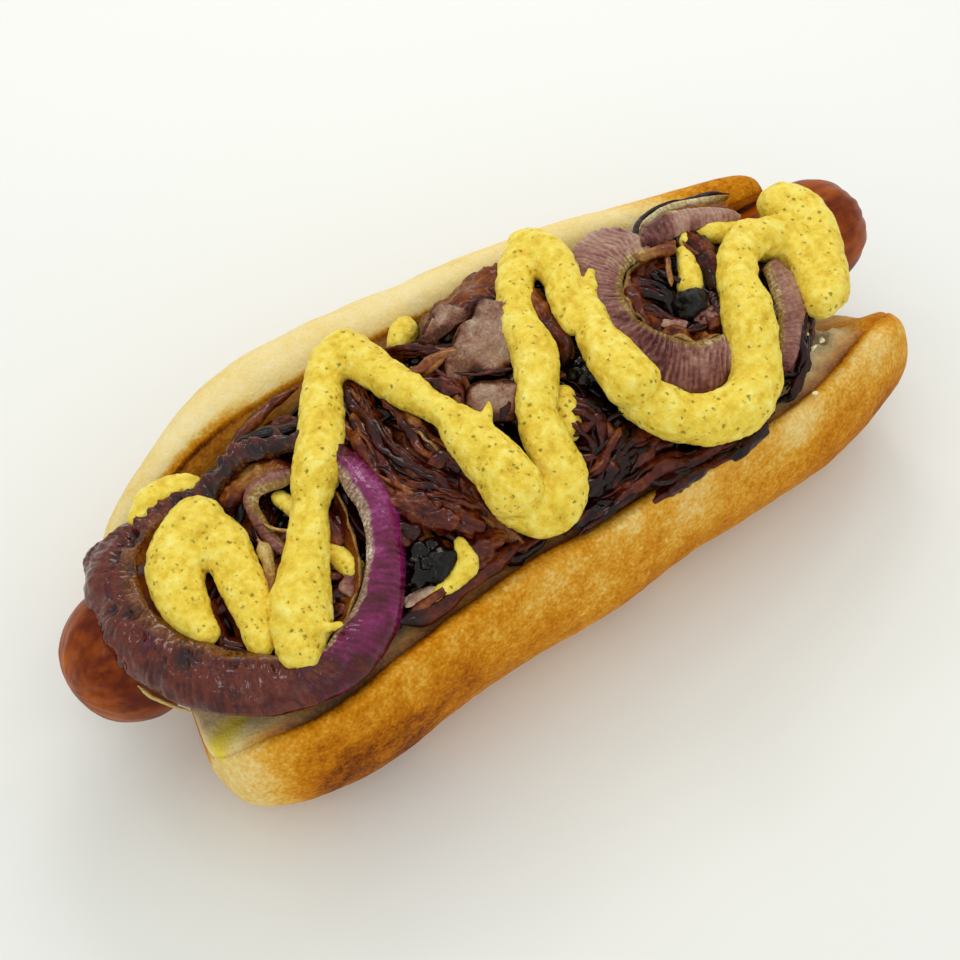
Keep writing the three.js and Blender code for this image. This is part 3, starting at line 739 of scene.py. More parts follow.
@dataclass(frozen=True)
class OnionFinish:
    """Fried red onion: wet with oil, veined, with painted shade dark along its folds, and paler where it was
    cut.
    """

    name: str
    flesh: tuple[tuple[float, str], ...]
    cut: tuple[tuple[float, str], ...]
    vein: tuple[float, float] = (0.7, 6.0)
    vein_depth: float = 0.5
    grain_mm: float = 0.9
    grain_depth: float = 0.45
    roughness: float = 0.34
    oil: float = 0.14
    bump: float = 0.5
    bump_mm: float = 0.5
    glow: float = 0.1

    def material(self) -> bpy.types.Material:
        """Builds the material: colour by the shade mark, veins along or across, a cut edge, wet grain."""
        made, tree = new_material(self.name)
        place = object_place(tree)
        grain = noise_at(tree, place, 1000.0 / self.grain_mm, 3.0)
        clouds = noise_at(tree, place, 240.0, 3.0)
        run = maths(tree, "DIVIDE", mark(tree, "run"), self.vein[0])
        side = maths(tree, "DIVIDE", mark(tree, "side"), self.vein[1])
        flow = add_node(tree, "ShaderNodeCombineXYZ", {0: run, 1: side})
        veins = noise_at(tree, flow, 1.0, 2.5)
        tone = mark(tree, "shade")
        for pattern, depth in ((clouds, 0.55), (grain, self.grain_depth), (veins, self.vein_depth)):
            part = maths(tree, "MULTIPLY_ADD", pattern, depth, -depth / 2)
            tone = maths(tree, "ADD", tone, part)
        flesh = ramp(tree, tone, self.flesh)
        # the cut edge is speckled in cells of half a millimetre: partly its own grain, partly painted glints
        beads = noise_at(tree, place, 1900.0, 2.0)
        tone = maths(tree, "MULTIPLY_ADD", beads, 0.9, tone)
        tone = maths(tree, "SUBTRACT", tone, 0.45)
        edge = ramp(tree, tone, self.cut)
        colour = mix(tree, mark(tree, "cut"), flesh, edge)
        height = maths(tree, "MULTIPLY_ADD", veins, 0.8, grain)
        bump = bumps(tree, height, self.bump, self.bump_mm * MM)
        surface(tree, {
            "Base Color": colour, "Roughness": self.roughness, "Normal": bump, "IOR": 1.42,
            "Specular IOR Level": 0.05, "Coat Weight": self.oil, "Coat Roughness": 0.1,
            "Subsurface Weight": self.glow, "Subsurface Radius": (1.0, 0.45, 0.3),
            "Subsurface Scale": 0.0014,
        })
        return made


@dataclass(frozen=True)
class CharFinish:
    """Charred onion: black, rough, with a little oil in its cracks."""

    name: str = "charred_onion"
    coal: str = "#0B0A0A"
    ash: str = "#35302C"

    def material(self) -> bpy.types.Material:
        """Builds the material: black with grey ridges."""
        made, tree = new_material(self.name)
        place = object_place(tree)
        cracks = noise_at(tree, place, 900.0, 4.0)
        colour = ramp(tree, cracks, ((0.5, self.coal), (0.75, self.ash)))
        bump = bumps(tree, cracks, 0.8, 0.0005)
        surface(tree, {
            "Base Color": colour, "Roughness": 0.36, "Normal": bump, "IOR": 1.5, "Specular IOR Level": 0.2,
            "Coat Weight": 0.12, "Coat Roughness": 0.14,
        })
        return made


@dataclass(frozen=True)
class TableFinish:
    """Smooth white table top, matt, so that it only carries the soft shadow."""

    name: str = "white_table"
    colour: str = "#F1F1EE"

    def material(self) -> bpy.types.Material:
        """Builds the material: one pale colour with the faintest cloud in it."""
        made, tree = new_material(self.name)
        place = object_place(tree)
        clouds = noise_at(tree, place, 4.0, 1.0)
        colour = ramp(tree, clouds, ((0.0, self.colour), (1.0, "#F3F3F0")))
        surface(tree, {"Base Color": colour, "Roughness": 0.7})
        return made


class Finish(Enum):
    """The finishes of the hot dog's pieces."""

    BREAD = BreadFinish()
    SAUSAGE = SausageFinish()
    MUSTARD = MustardFinish()
    SKIN = OnionFinish(
        "red_onion_skin",
        (
            (0.0, "#1E0604"), (0.18, "#481209"), (0.34, "#6C2814"), (0.46, "#4E0E0C"), (0.56, "#480618"),
            (0.66, "#640C38"), (0.8, "#7E1A58"), (1.0, "#A6548C"),
        ),
        ((0.0, "#2C1006"), (0.36, "#7C4410"), (0.6, "#7E5E4A"), (0.84, "#AC917C"), (1.0, "#E2D4C6")),
        vein_depth=0.34,
        grain_mm=0.7,
        grain_depth=0.25,
        roughness=0.26,
        oil=0.7,
        bump=0.9,
        bump_mm=0.6,
    )
    MAUVE = OnionFinish(
        "red_onion_flesh",
        ((0.0, "#2A0A08"), (0.25, "#5A2A26"), (0.5, "#8E5E54"), (0.75, "#B08C78"), (1.0, "#CEB69C")),
        ((0.0, "#5A380C"), (0.5, "#8E6E38"), (1.0, "#E2D2A4")),
        oil=0.3,
        bump=0.7,
    )
    SOFT = OnionFinish(
        "soft_onion_flesh",
        ((0.0, "#240A05"), (0.25, "#542818"), (0.5, "#865A46"), (0.75, "#A88A74"), (1.0, "#CCB8A0")),
        ((0.0, "#5E3E10"), (0.5, "#A28246"), (1.0, "#EADCAC")),
        vein=(9.0, 1.4),
        vein_depth=0.3,
        grain_mm=0.5,
        grain_depth=0.5,
        oil=0.3,
        bump=0.7,
    )
    PETAL = OnionFinish(
        "brown_onion_petal",
        ((0.0, "#240802"), (0.28, "#541A06"), (0.5, "#824210"), (0.72, "#9C6A2E"), (1.0, "#BE9E6A")),
        ((0.0, "#643C10"), (0.5, "#A88044"), (1.0, "#D0B880")),
        vein=(7.0, 0.7),
        oil=0.3,
        bump=0.8,
    )
    FRIED = OnionFinish(
        "fried_onion_shreds",
        (
            (0.0, "#060101"), (0.2, "#1A0505"), (0.38, "#3A0A06"), (0.56, "#64220C"), (0.72, "#86481E"),
            (0.88, "#A87438"), (1.0, "#CCAE68"),
        ),
        ((0.0, "#3A1A10"), (0.5, "#8A6A44"), (1.0, "#D8C49A")),
        vein=(9.0, 0.8),
        grain_mm=1.0,
        roughness=0.3,
        oil=0.5,
        bump=1.0,
        bump_mm=0.9,
    )
    CHAR = CharFinish()
    TABLE = TableFinish()

    def material(self) -> bpy.types.Material:
        """The finish's one material, built at its first use."""
        return bpy.data.materials.get(self.value.name) or self.value.material()


def register(made: bpy.types.Object, nodes: Sequence[str]) -> bpy.types.Object:
    """Ties a finished piece to the body and hides the nodes that it stands for.

    Args:
        made: the piece.
        nodes: names of the nodes that it replaces.

    Returns:
        The same piece.
    """
    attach(made, "root")
    if nodes:
        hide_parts(*nodes)
    LOG.info("%s: %d faces", made.name, len(made.data.polygons))
    return made


def dress(made: bpy.types.Object, finish: Finish) -> bpy.types.Object:
    """Gives a piece one finish all over."""
    made.data.materials.clear()
    made.data.materials.append(finish.material())
    return made


# ---- The roll ------------------------------------------------------------------------------------------


@dataclass(frozen=True)
class LobeEnd:
    """The point that one part of the roll closes towards at an end, and how bluntly it does."""

    x: float
    y: float
    z: float
    blunt: float


@dataclass(frozen=True)
class Lobe:
    """A part of the roll's cross-section, with its two ends."""

    left: LobeEnd
    right: LobeEnd


@dataclass
class Roll:
    """The split roll: browned near lobe, pale far lobe and the hinge under the sausage."""

    near: Lobe = Lobe(LobeEnd(-81, -25, 24, 4.4), LobeEnd(79.5, -26, 18, 4.4))
    far: Lobe = Lobe(LobeEnd(-75, 20, 20, 2.6), LobeEnd(76.5, 13, 24, 6))
    hinge: Lobe = Lobe(LobeEnd(-75, 0, 12, 4.4), LobeEnd(75, 0, 11, 3.4))
    trough_floor: float = 13
    flat_near: float = -20
    flat_far: float = 15
    corners: int = 208
    body_rings: int = 170
    body_end: float = 0.84
    crest_share: float = 8 / 36
    outline_corners: int = 20
    base_height: float = 0.6
    cream_bake: float = 0.21
    toasted_bake: float = 0.58
    smear_middle: tuple[float, float] = (-78, -24)
    # How brown the crust is at each corner of the outline, and where its cut crumb shows.
    bake: Knots = (
        (0, 0.3), (2, 0.28), (2.75, 0.34), (2.95, 0.86), (3.15, 0.8), (3.5, 0.42), (4.4, 0.4), (5.2, 0.5),
        (6.2, 0.56), (7.2, 0.5), (8.4, 0.44), (9, 0.6), (11, 0.6), (12, 0.48), (13.4, 0.4), (14.1, 0.22),
        (14.8, 0.15), (15.2, 0.12), (16, 0.1), (16.7, 0.16), (16.95, 0.8), (17.2, 0.55), (18, 0.45),
        (20, 0.3),
    )
    crumb: Knots = (
        (0, 1), (2.6, 1), (2.9, 0.2), (3.1, 0), (16.9, 0), (17.2, 0.25), (18, 0.6), (19, 1), (20, 1),
    )

    def outline(self, x: float) -> tuple[Array, list[Lobe]]:
        """The cross-section's 20 corners at x as [y, z], and the part that each belongs to."""
        crest_y, crest_z, bulge_y = float(NEAR_CREST_Y(x)), float(NEAR_CREST_Z(x)), float(NEAR_BULGE_Y(x))
        inner_y, outer_y, far_z = float(FAR_INNER_Y(x)), float(FAR_OUTER_Y(x)), float(FAR_CREST_Z(x))
        corners = [
            (0, self.trough_floor), (-11, 16), (-19, 26), (crest_y, crest_z - 1.2),
            ((crest_y + bulge_y) / 2, crest_z), (bulge_y + 1, crest_z - 7), (bulge_y, 20), (bulge_y + 5, 8),
            (bulge_y + 14, 1), (self.flat_near, 0), (0, 0), (self.flat_far, 0), (outer_y - 4, 3),
            (outer_y + 6, 13), (outer_y + 8, 27), (outer_y, far_z), ((inner_y + outer_y) / 2, far_z + 1.2),
            (inner_y, far_z - 1.5), (min(15, inner_y + 5.5), 26), (10, 16),
        ]
        parts = [self.hinge] * 2 + [self.near] * 8 + [self.hinge] + [self.far] * 8 + [self.hinge]
        return np.array(corners, float), parts

    def ring(self, place: float) -> Array:
        """One closed ring of points. place runs from -1 at the left end to 1 at the right."""

        def reach(part: Lobe) -> float:
            """How far along +X this ring lies in a part of the roll."""
            return part.left.x + (part.right.x - part.left.x) * (place + 1) / 2

        corners, parts = self.outline(reach(self.near))
        rows = []
        for (y, z), part in zip(corners, parts):
            end = part.left if place < 0 else part.right
            size = max(1 - abs(place) ** end.blunt, 0) ** (1 / end.blunt)
            rows.append((reach(part), end.y + (y - end.y) * size, end.z + (z - end.z) * size))
        ring = spline(np.array(rows), np.arange(self.corners) / self.corners, closed=True)
        ring[:, 2] = np.maximum(ring[:, 2], 0)
        return ring

    def places(self) -> Array:
        """Where the rings stand: evenly along the body and ever closer towards both ends."""
        body = np.linspace(-self.body_end, self.body_end, self.body_rings)
        closing = np.array([0.88, 0.77, 0.66, 0.55, 0.46, 0.38, 0.3, 0.23, 0.17, 0.12, 0.08, 0.05, 0.028])
        last = np.array([2e-3, 8e-4, 2.5e-4, 5e-5, 4e-6, 1e-8])
        end = np.concatenate([1 - (1 - self.body_end) * closing, 1 - last])
        return np.concatenate([-end[::-1], body, end])

    def marks(self, points: Array, corner: Array) -> dict[str, Array]:
        """The bake, crumb and smear marks for each vertex, from its place and its corner number."""
        x, y = points[..., 0], points[..., 1]
        bake = np.interp(corner, *zip(*self.bake))
        crumb = np.interp(corner, *zip(*self.crumb))
        near = band((2.4, 3.0), (8.6, 9.2), corner)
        far_top = band((14.2, 15), (17.2, 17.8), corner)
        far_in = ease(16.8, 17.1, corner)
        crest = band((3.1, 3.4), (4.8, 6), corner)
        cloud = blobs(points, 15, 5) * 0.6 + blobs(points, 7, 6) * 0.4
        bake = bake + near * (cloud * 0.24 + 0.01) + far_top * blobs(points, 9, 9) * 0.05
        # paler along the crest to the right, browner on the outside to the left
        bake = bake - crest * ease(-10, 50, x) * 0.1
        bake = bake + ease(5, 6.2, corner) * near * (1 - ease(-60, 10, x)) * 0.07
        # the near lobe's left end is cream
        near_end = band((1.6, 2.3), (8.8, 9.6), corner) * (1 - ease(-80, -67, x + 2 * blobs(points, 5, 12)))
        bake = bake + (self.cream_bake - bake) * near_end
        bake = bake + near * band((-74, -64), (-60, -30), x) * ease(4.6, 5.6, corner) * 0.18
        # the far lobe's inner face is toasted at the left, with a browned rim over it
        inner_left = far_in * (1 - ease(-40, -24, x))
        bake = bake + inner_left * (self.toasted_bake - bake)
        bake = bake + ease(16.2, 16.7, corner) * (1 - far_in) * (1 - ease(-52, -36, x)) * 0.36
        crumb = crumb * (1 - inner_left * 0.9)
        # the far lobe's tip is browned at the right
        far_tip = band((14.2, 15), (19, 20), corner) * ease(44, 66, x)
        bake = bake + far_tip * (self.toasted_bake - bake)
        crumb = crumb * (1 - far_in * ease(52, 62, x) * 0.9)
        # crust wraps over the crumb at the near lobe's right end
        crumb = crumb * (1 - 0.3 * (1 - ease(10, 44, x)) * (corner < 3.2))
        wrap = ease(64, 69, x + 0.35 * y + 10) * band((0.8, 2.2), (3, 4), corner)
        bake, crumb = bake + wrap * (0.5 - bake) * 0.8, crumb * (1 - wrap)
        smear_x, smear_y = self.smear_middle
        spot = np.hypot((x - smear_x) / 5.4, (y - smear_y) / 6) + blobs(points, 3, 4) * 0.3
        smear = (1 - ease(0.6, 1.1, spot)) * ease(24, 28, points[..., 2]) * 0.9
        return {"bake": bake, "crumb": crumb, "smear": smear}

    def build(self) -> bpy.types.Object:
        """Builds the roll with the relief of its crust and crumb."""
        rings = np.stack([self.ring(place) for place in self.places()])
        corner = np.arange(self.corners) / self.corners * self.outline_corners
        corner = np.broadcast_to(corner, rings.shape[:2])
        around = unit(np.roll(rings, -1, axis=1) - np.roll(rings, 1, axis=1))
        out = unit(np.stack([np.zeros_like(around[..., 0]), around[..., 2], -around[..., 1]], axis=-1))
        marks = self.marks(rings, corner)
        under = rings[..., 2] < self.base_height
        relief = 0.5 * blobs(rings, 16, 1) + 0.2 * blobs(rings, 6, 2) + 0.07 * blobs(rings, 1.8, 3)
        torn = ease(38, 50, rings[..., 0]) * (corner < 3)
        coarse, fine = 0.5 + 1.5 * torn, 0.3 + 0.9 * torn
        torn = 1.4 * torn + coarse * blobs(rings, 3, 7) + fine * blobs(rings, 1.3, 8)
        relief = relief * (1 - marks["crumb"]) + marks["crumb"] * torn
        crease = np.exp(-(((corner - 3.02) / 0.09) ** 2)) + 0.6 * np.exp(-(((corner - 16.98) / 0.08) ** 2))
        relief = np.where(under, 0, relief - 0.7 * crease)
        points = rings + out * relief[..., None]
        points[..., 2] = np.maximum(points[..., 2], 0)
        count, corners = points.shape[:2]
        faces = closed_faces(count, corners, round(corners * self.crest_share))
        flat_marks = {name: values.reshape(-1) for name, values in marks.items()}
        made = make_object("bread_roll", points.reshape(-1, 3), faces, flat_marks)
        return register(dress(made, Finish.BREAD), ["roll"])


# ---- The sausage ---------------------------------------------------------------------------------------


@dataclass
class Sausage:
    """A long smoked sausage: it shows at both ends of the roll."""

    radius_left: float = 12.5
    radius_right: float = 11.5
    left: float = -94
    right: float = 93
    height: float = 26.2
    corners: int = 88
    body_rings: int = 150
    cap_rings: int = 26
    pleat: float = 0.4

    def build(self) -> bpy.types.Object:
        """Builds the sausage with drawn skin at its ends."""
        turn = (np.arange(self.cap_rings) + 0.25) / self.cap_rings * math.pi / 2
        body = np.linspace(0, 1, self.body_rings)
        left_middle, right_middle = self.left + self.radius_left, self.right - self.radius_right
        x = np.concatenate([
            left_middle - self.radius_left * np.cos(turn),
            left_middle + (right_middle - left_middle) * body,
            right_middle + self.radius_right * np.cos(turn[::-1]),
        ])
        radius = np.concatenate([
            self.radius_left * np.sin(turn),
            self.radius_left + (self.radius_right - self.radius_left) * body,
            self.radius_right * np.sin(turn[::-1]),
        ])
        angle = full_turn(self.corners)
        rim = np.stack([np.zeros_like(angle), np.cos(angle), np.sin(angle)], axis=-1)
        points = np.stack([x, x * 0, x * 0 + self.height], axis=-1)[:, None] + radius[:, None, None] * rim
        points[..., 0] = x[:, None]
        # the skin is drawn into faint pleats towards each tip
        tip = 1 - np.clip(radius / self.radius_right, 0, 1)
        wave = np.sin(angle * 17 + 2 * blobs(points, 9, 3)) * 0.5 + np.sin(angle * 7) * 0.5
        relief = self.pleat * wave * (4 * tip * (1 - tip))[:, None] + 0.35 * blobs(points, 11, 4)
        relief = relief + 0.09 * blobs(points * np.array([0.3, 1, 1]), 1.6, 8)
        points = points + rim * relief[..., None]
        scorched = ease(0.5, 0.95, tip)[:, None] + 0.6 * np.maximum(blobs(points, 8, 21), 0)
        # painted shade: the lower half is coloured darker towards the table, where the light doesn't reach
        low = 1 - ease(14, 26, points[..., 2] + 3 * blobs(points, 5, 23))
        # the mark joins the scorch at the tips and the blotches with the painted shade underneath
        scorch_and_painted_shade = 0.02 + 0.42 * scorched * (0.5 + 0.5 * blobs(points, 4, 22)) + 0.3 * low
        faces = closed_faces(len(x), self.corners)
        made = make_object("smoked_sausage", points.reshape(-1, 3), faces, {"scorch_and_painted_shade": scorch_and_painted_shade.reshape(-1)})
        return register(dress(made, Finish.SAUSAGE), ["sausage"])


# ---- Onion layers --------------------------------------------------------------------------------------


def squared(value: Array, power: float) -> Array:
    """A sine or cosine bent towards a square outline by a power below one."""
    return np.sign(value) * np.abs(value) ** power


@dataclass
class OnionLayer:
    """A layer of onion between two edge lines, given as [x, y, lift over the heap]."""

    name: str
    nodes: Sequence[str]
    slot: str
    finish: Finish
    upper: Spots
    lower: Spots
    wall: float = 1.6
    closed: bool = False
    steps: int = 120
    corners: int = 40
    bow: float = 0.4
    square: float = 0.72
    pointed: float = 0.05
    fold: float = 0.5
    fold_size: float = 6
    wrinkle: float = 0.12
    wrinkle_size: float = 1.4
    rib: float = 0.0
    rib_pitch: float = 1.1
    ragged: float = 0.4
    cut_side: int = -1
    cut_width: Knots = ((0, 1.4), (1, 1.4))
    shade: Knots = ((0, 0.5), (1, 0.5))
    calm: Knots = ((0, 1), (1, 1))
    seared: float = 0.0
    seed: int = 1

    def build(self) -> bpy.types.Object:
        """Builds the layer with its folds, wrinkles, ribs and cut edge."""
        count = self.steps if self.closed else self.steps + 1
        share = np.arange(count) / self.steps
        a = spline(on_heap(self.upper), share, self.closed)
        b = spline(on_heap(self.lower), share, self.closed)
        middle = (a + b) / 2
        ahead = unit(np.gradient(middle, axis=0))
        if self.closed:
            ahead = unit(np.roll(middle, -1, axis=0) - np.roll(middle, 1, axis=0))
        across = unit(b - a)
        a = a - across * (self.ragged * blobs(a, 3.2, self.seed + 20))[:, None]
        b = b + across * (self.ragged * blobs(b, 3.2, self.seed + 21))[:, None]
        half = np.linalg.norm(b - a, axis=1) / 2
        out = unit(np.cross(ahead, across))
        out = out * np.sign(out[:, 2].mean())
        middle = (a + b) / 2
        taper = np.ones(count)
        if not self.closed:
            taper = np.clip(np.minimum(share, 1 - share) / self.pointed, 0, 1)
            taper = 0.2 + 0.8 * np.sqrt(taper * (2 - taper))
            half = half * taper
        angle = full_turn(self.corners)
        u = -squared(np.cos(angle), self.square)
        v = squared(np.sin(angle), self.square)
        side = half[:, None] * u
        centre = middle[:, None] + across[:, None] * side[..., None]
        points = centre + out[:, None] * ((self.wall / 2 * taper)[:, None] * v)[..., None]
        from_edge = half[:, None] * (1 + self.cut_side * -u)
        live = np.interp(share, *zip(*self.calm))[:, None]
        fold = self.fold * blobs(centre, self.fold_size, self.seed)
        face = np.sign(np.round(v, 3))
        crease = (crumple(points, self.wrinkle_size * 2.2, self.seed + 3) - 0.5) * self.wrinkle * 2
        crease = crease + blobs(points, self.wrinkle_size * 0.6, self.seed + 5) * self.wrinkle * 0.5
        crease = crease * live * (0.45 + np.exp(-(((from_edge - 3) / 2) ** 2)))
        length = np.concatenate([[0], np.cumsum(np.linalg.norm(np.diff(middle, axis=0), axis=1))])
        wander = blobs(centre, 4, self.seed + 7) * 0.8
        depth = self.rib * (0.5 + 0.5 * blobs(centre, 2.5, self.seed + 8))
        ribs = depth * np.sin(2 * math.pi * (length[:, None] / self.rib_pitch + wander))
        raised = fold * (0.4 + 0.6 * live) + self.bow * (1 - u * u) + face * (crease + ribs)
        points = points + out[:, None] * raised[..., None]
        width = np.interp(share, *zip(*self.cut_width))[:, None]
        frayed = from_edge + 0.3 * blobs(centre, 1.5, self.seed + 9)
        cut = 1 - ease(0.7, 1.3, frayed / np.maximum(width, 0.05))
        shade = np.interp(share, *zip(*self.shade))[:, None]
        # painted shade and highlight: the shade mark is darker in the folds of the wrinkles and paler on
        # their ridges
        shade = shade + 0.08 * blobs(centre, 5, self.seed + 2) + crease * 0.2
        to_rim = half[:, None] * (1 - np.abs(u)) + 0.7 * blobs(centre, 2.2, self.seed + 11)
        shade = shade - self.seared * (1 - ease(0.3, 2.2, to_rim))
        if self.closed:
            faces = tube_faces(count, self.corners, endless=True).tolist()
        else:
            faces = closed_faces(count, self.corners)
        marks = {
            # painted shade and highlight: darker in the grooves between the ribs, paler on the ribs
            "shade": (shade + ribs * 0.6).reshape(-1),
            "cut": cut.reshape(-1),
            "run": np.broadcast_to(length[:, None], cut.shape).reshape(-1),
            "side": side.reshape(-1),
        }
        made = make_object(self.name, points.reshape(-1, 3), faces, marks)
        return register(dress(made, self.finish), self.nodes)


def flesh(name: str, nodes: Sequence[str], upper: Spots, lower: Spots, **more: Any) -> OnionLayer:
    """A layer of mauve flesh."""
    return OnionLayer(name, nodes, "onion_flesh", Finish.MAUVE, upper, lower, **more)


def soft(name: str, nodes: Sequence[str], upper: Spots, lower: Spots, **more: Any) -> OnionLayer:
    """A layer of flesh that has gone soft and grainy in the pan."""
    return OnionLayer(name, nodes, "onion_flesh", Finish.SOFT, upper, lower, **more)


def petal(name: str, nodes: Sequence[str], upper: Spots, lower: Spots, **more: Any) -> OnionLayer:
    """A layer of soft brown onion."""
    return OnionLayer(name, nodes, "onion_petal", Finish.PETAL, upper, lower, **more)


RING_LEFT = OnionLayer(
    "red_onion_ring", ["onion_ring_left"], "onion_skin", Finish.SKIN,
    upper=[
        (-39.5, -8.5, 4), (-41.5, -16, 4), (-45.5, -22.5, 4), (-53, -27, 4.2), (-61, -28.5, 4.2),
        (-67, -24, 4), (-72, -18.5, 4), (-76.5, -11.5, 4), (-78, -4, 4), (-76.5, 2.5, 3.6),
        (-73.5, 6.5, 3.4), (-65.5, 9, 3), (-57, 7.5, 3), (-48.5, 9, 3), (-42.5, 6, 3), (-39, 0.5, 3.4),
    ],
    lower=[
        (-33, -6, 0.6), (-34.5, -17.5, 0.4), (-39.5, -25.5, 0.4), (-46, -31.5, 0.6), (-57.5, -36, 1.4),
        (-68.5, -33.5, 1.2), (-76.5, -28.5, 0.4), (-83.5, -18.5, -1.5), (-86.5, -5.5, -3.4),
        (-84.5, 8, -4.6), (-78.5, 16, -4), (-70.5, 15, -1), (-56.5, 12, 1.6), (-48.5, 13, 1.8),
        (-41.5, 10.5, 1.8), (-35, 3.5, 1.4),
    ],
    wall=2.6, closed=True, steps=600, corners=72, bow=1.5, fold=1, fold_size=7, wrinkle=0.7, wrinkle_size=1.7,
    rib=0.1, rib_pitch=1.2, ragged=0.3,
    cut_width=(
        (0, 1.1), (0.06, 0.85), (0.12, 0.55), (0.2, 0.35), (0.27, 0.6), (0.33, 1.6), (0.46, 2), (0.6, 1.6),
        (0.68, 0.8), (0.73, 0.2), (0.92, 0.2), (0.96, 0.9), (1, 1.1),
    ),
    shade=(
        (0, 0.78), (0.06, 0.8), (0.12, 0.76), (0.18, 0.7), (0.22, 0.64), (0.26, 0.56), (0.31, 0.46),
        (0.35, 0.28), (0.42, 0.24), (0.5, 0.32), (0.58, 0.34), (0.64, 0.26), (0.7, 0.16), (0.76, 0.1),
        (0.9, 0.12), (0.95, 0.6), (1, 0.78),
    ),
    calm=((0, 0.08), (0.17, 0.1), (0.26, 0.5), (0.34, 1), (0.9, 1), (1, 0.08)), seed=2,
)
SLICE_RIGHT = flesh(
    "ribbed_onion_slice", ["onion_slice_right"],
    upper=[
        (40.5, 8, 1), (38, 12.5, 1.2), (34, 15, 1.2), (28, 13, 1.4), (22.5, 7, 1.4), (19.5, 0.5, 1.4),
        (17, -7, 1.4), (17, -14, 1.4), (18.5, -20, 1.4), (22, -24.5, 1.6), (27, -28, 1.8), (33, -27.5, 1.8),
    ],
    lower=[
        (37.5, 1, 2), (35.5, 1.4, 2.2), (33, 1.2, 2.4), (30, 0, 2.4), (27.5, -2, 2.4), (25.5, -5.5, 2.4),
        (24.5, -9, 2.4), (24.5, -12, 2.4), (26, -15, 2.4), (28.5, -18, 2.4), (32.5, -20, 2.4),
        (37.5, -21, 2.4),
    ],
    wall=2.2, steps=380, corners=64, bow=0.6, fold=0.6, fold_size=6, wrinkle=0.24, wrinkle_size=0.9, rib=0.2,
    rib_pitch=1.15, ragged=0.3, cut_side=1, cut_width=((0, 1), (0.5, 1.4), (1, 1.1)), pointed=0.02,
    shade=((0, 0.6), (0.2, 0.66), (0.36, 0.5), (0.6, 0.38), (0.8, 0.36), (1, 0.5)), seed=5,
)
CURL_RIGHT = flesh(
    "onion_curl_right", ["onion_curl_right"],
    upper=[
        (36.8, 4.5, 3), (39, 6.4, 3.6), (44, 7.8, 3.8), (49, 7.8, 3.8), (53.5, 6.8, 3.8), (57, 4.8, 3.8),
        (61, 2, 3.6),
    ],
    lower=[
        (36, 3.4, 1.8), (38.5, 2, 2), (42.5, 2.5, 2.2), (46, 2.5, 2.6), (50.5, 1.5, 2.8), (55.5, 0.5, 3),
        (59, -0.5, 3),
    ],
    wall=1.4, steps=170, bow=0.9, cut_width=((0, 0.2), (0.35, 0.3), (0.45, 1.4), (1, 0.6)), rib=0.06,
    pointed=0.08, shade=((0, 0.22), (0.25, 0.34), (0.4, 0.4), (0.47, 0.8), (0.58, 0.62), (1, 0.66)), seed=8,
    fold=0.4,
)
CURL_CREAM = flesh(
    "onion_curl_inner_face", ["onion_curl_right"],
    upper=[
        (37.6, 5.4, 3), (39.8, 7.7, 3), (44, 9.4, 3), (49, 10.3, 3), (55, 9.8, 2.8), (61, 9, 2.4),
        (64.5, 8.5, 2),
    ],
    lower=[
        (38, 5, 3), (40.2, 7, 3.2), (44, 8.5, 3.4), (49, 9.2, 3.4), (55, 8.6, 3), (60, 7.6, 2.6),
        (63.5, 7.6, 2),
    ],
    wall=1.0, steps=130, bow=0.5, cut_width=even(9), ragged=0.3, fold=0.3, wrinkle=0.08, pointed=0.12,
    shade=((0, 0.4), (0.3, 0.84), (0.7, 0.8), (1, 0.3)), seed=41, square=0.8,
)
CURL_UNDER = petal(
    "onion_curl_brown_face", ["onion_curl_right"],
    upper=[(40, 6.6, 2.4), (45, 8.6, 2.4), (51, 9, 2.4), (57, 8, 2.2), (62, 7, 1.8)],
    lower=[(40, 3, 1.6), (45, 3.4, 1.6), (51, 3, 1.6), (56, 2, 1.6), (60, 2.4, 1.4)],
    wall=1.2, steps=110, bow=0.5, fold=0.8, fold_size=3.5, wrinkle=0.3, ragged=0.5, cut_width=even(0.2),
    shade=((0, 0.3), (0.5, 0.5), (1, 0.36)), seed=57, pointed=0.2,
)
CURL_WEDGE = petal(
    "onion_wedge", ["onion_heap"],
    upper=[(50, 4, 2), (49.5, 0.5, 2.2), (49.8, -3.5, 2), (46.5, -8, 1.6), (43, -12.5, 1.2)],
    lower=[(45, 4, 0.6), (44, 1, 1), (44, -2.5, 1), (42.2, -7.5, 1), (40, -12, 0.8)],
    wall=1.3, steps=120, corners=52, bow=1.1, fold=0.9, fold_size=4, wrinkle=0.25, ragged=0.7,
    cut_width=even(0.2), shade=((0, 0.5), (0.4, 0.3), (0.7, 0.2), (1, 0.22)), seared=0.3, seed=55, square=1,
    pointed=0.2,
)
BAND_RIGHT = flesh(
    "onion_band_right", ["onion_band_right"],
    upper=[
        (59.4, -10.5, 1.4), (60, -15, 1.2), (57, -21, 1.2), (52, -26, 1.2), (47, -30, 1.4),
        (43.5, -32, 1.6),
    ],
    lower=[
        (54.5, -11.5, 2.6), (52, -16.5, 2.6), (49.5, -21, 2.6), (46, -25, 2.6), (43, -28, 2.4),
        (40, -30, 2.4),
    ],
    wall=2.0, steps=150, bow=0.8, cut_side=1, cut_width=((0, 1.8), (0.3, 1.4), (0.6, 0.8), (1, 0.4)),
    fold=0.5, shade=((0, 0.5), (0.3, 0.62), (0.6, 0.5), (0.85, 0.4), (1, 0.2)), seed=11,
)
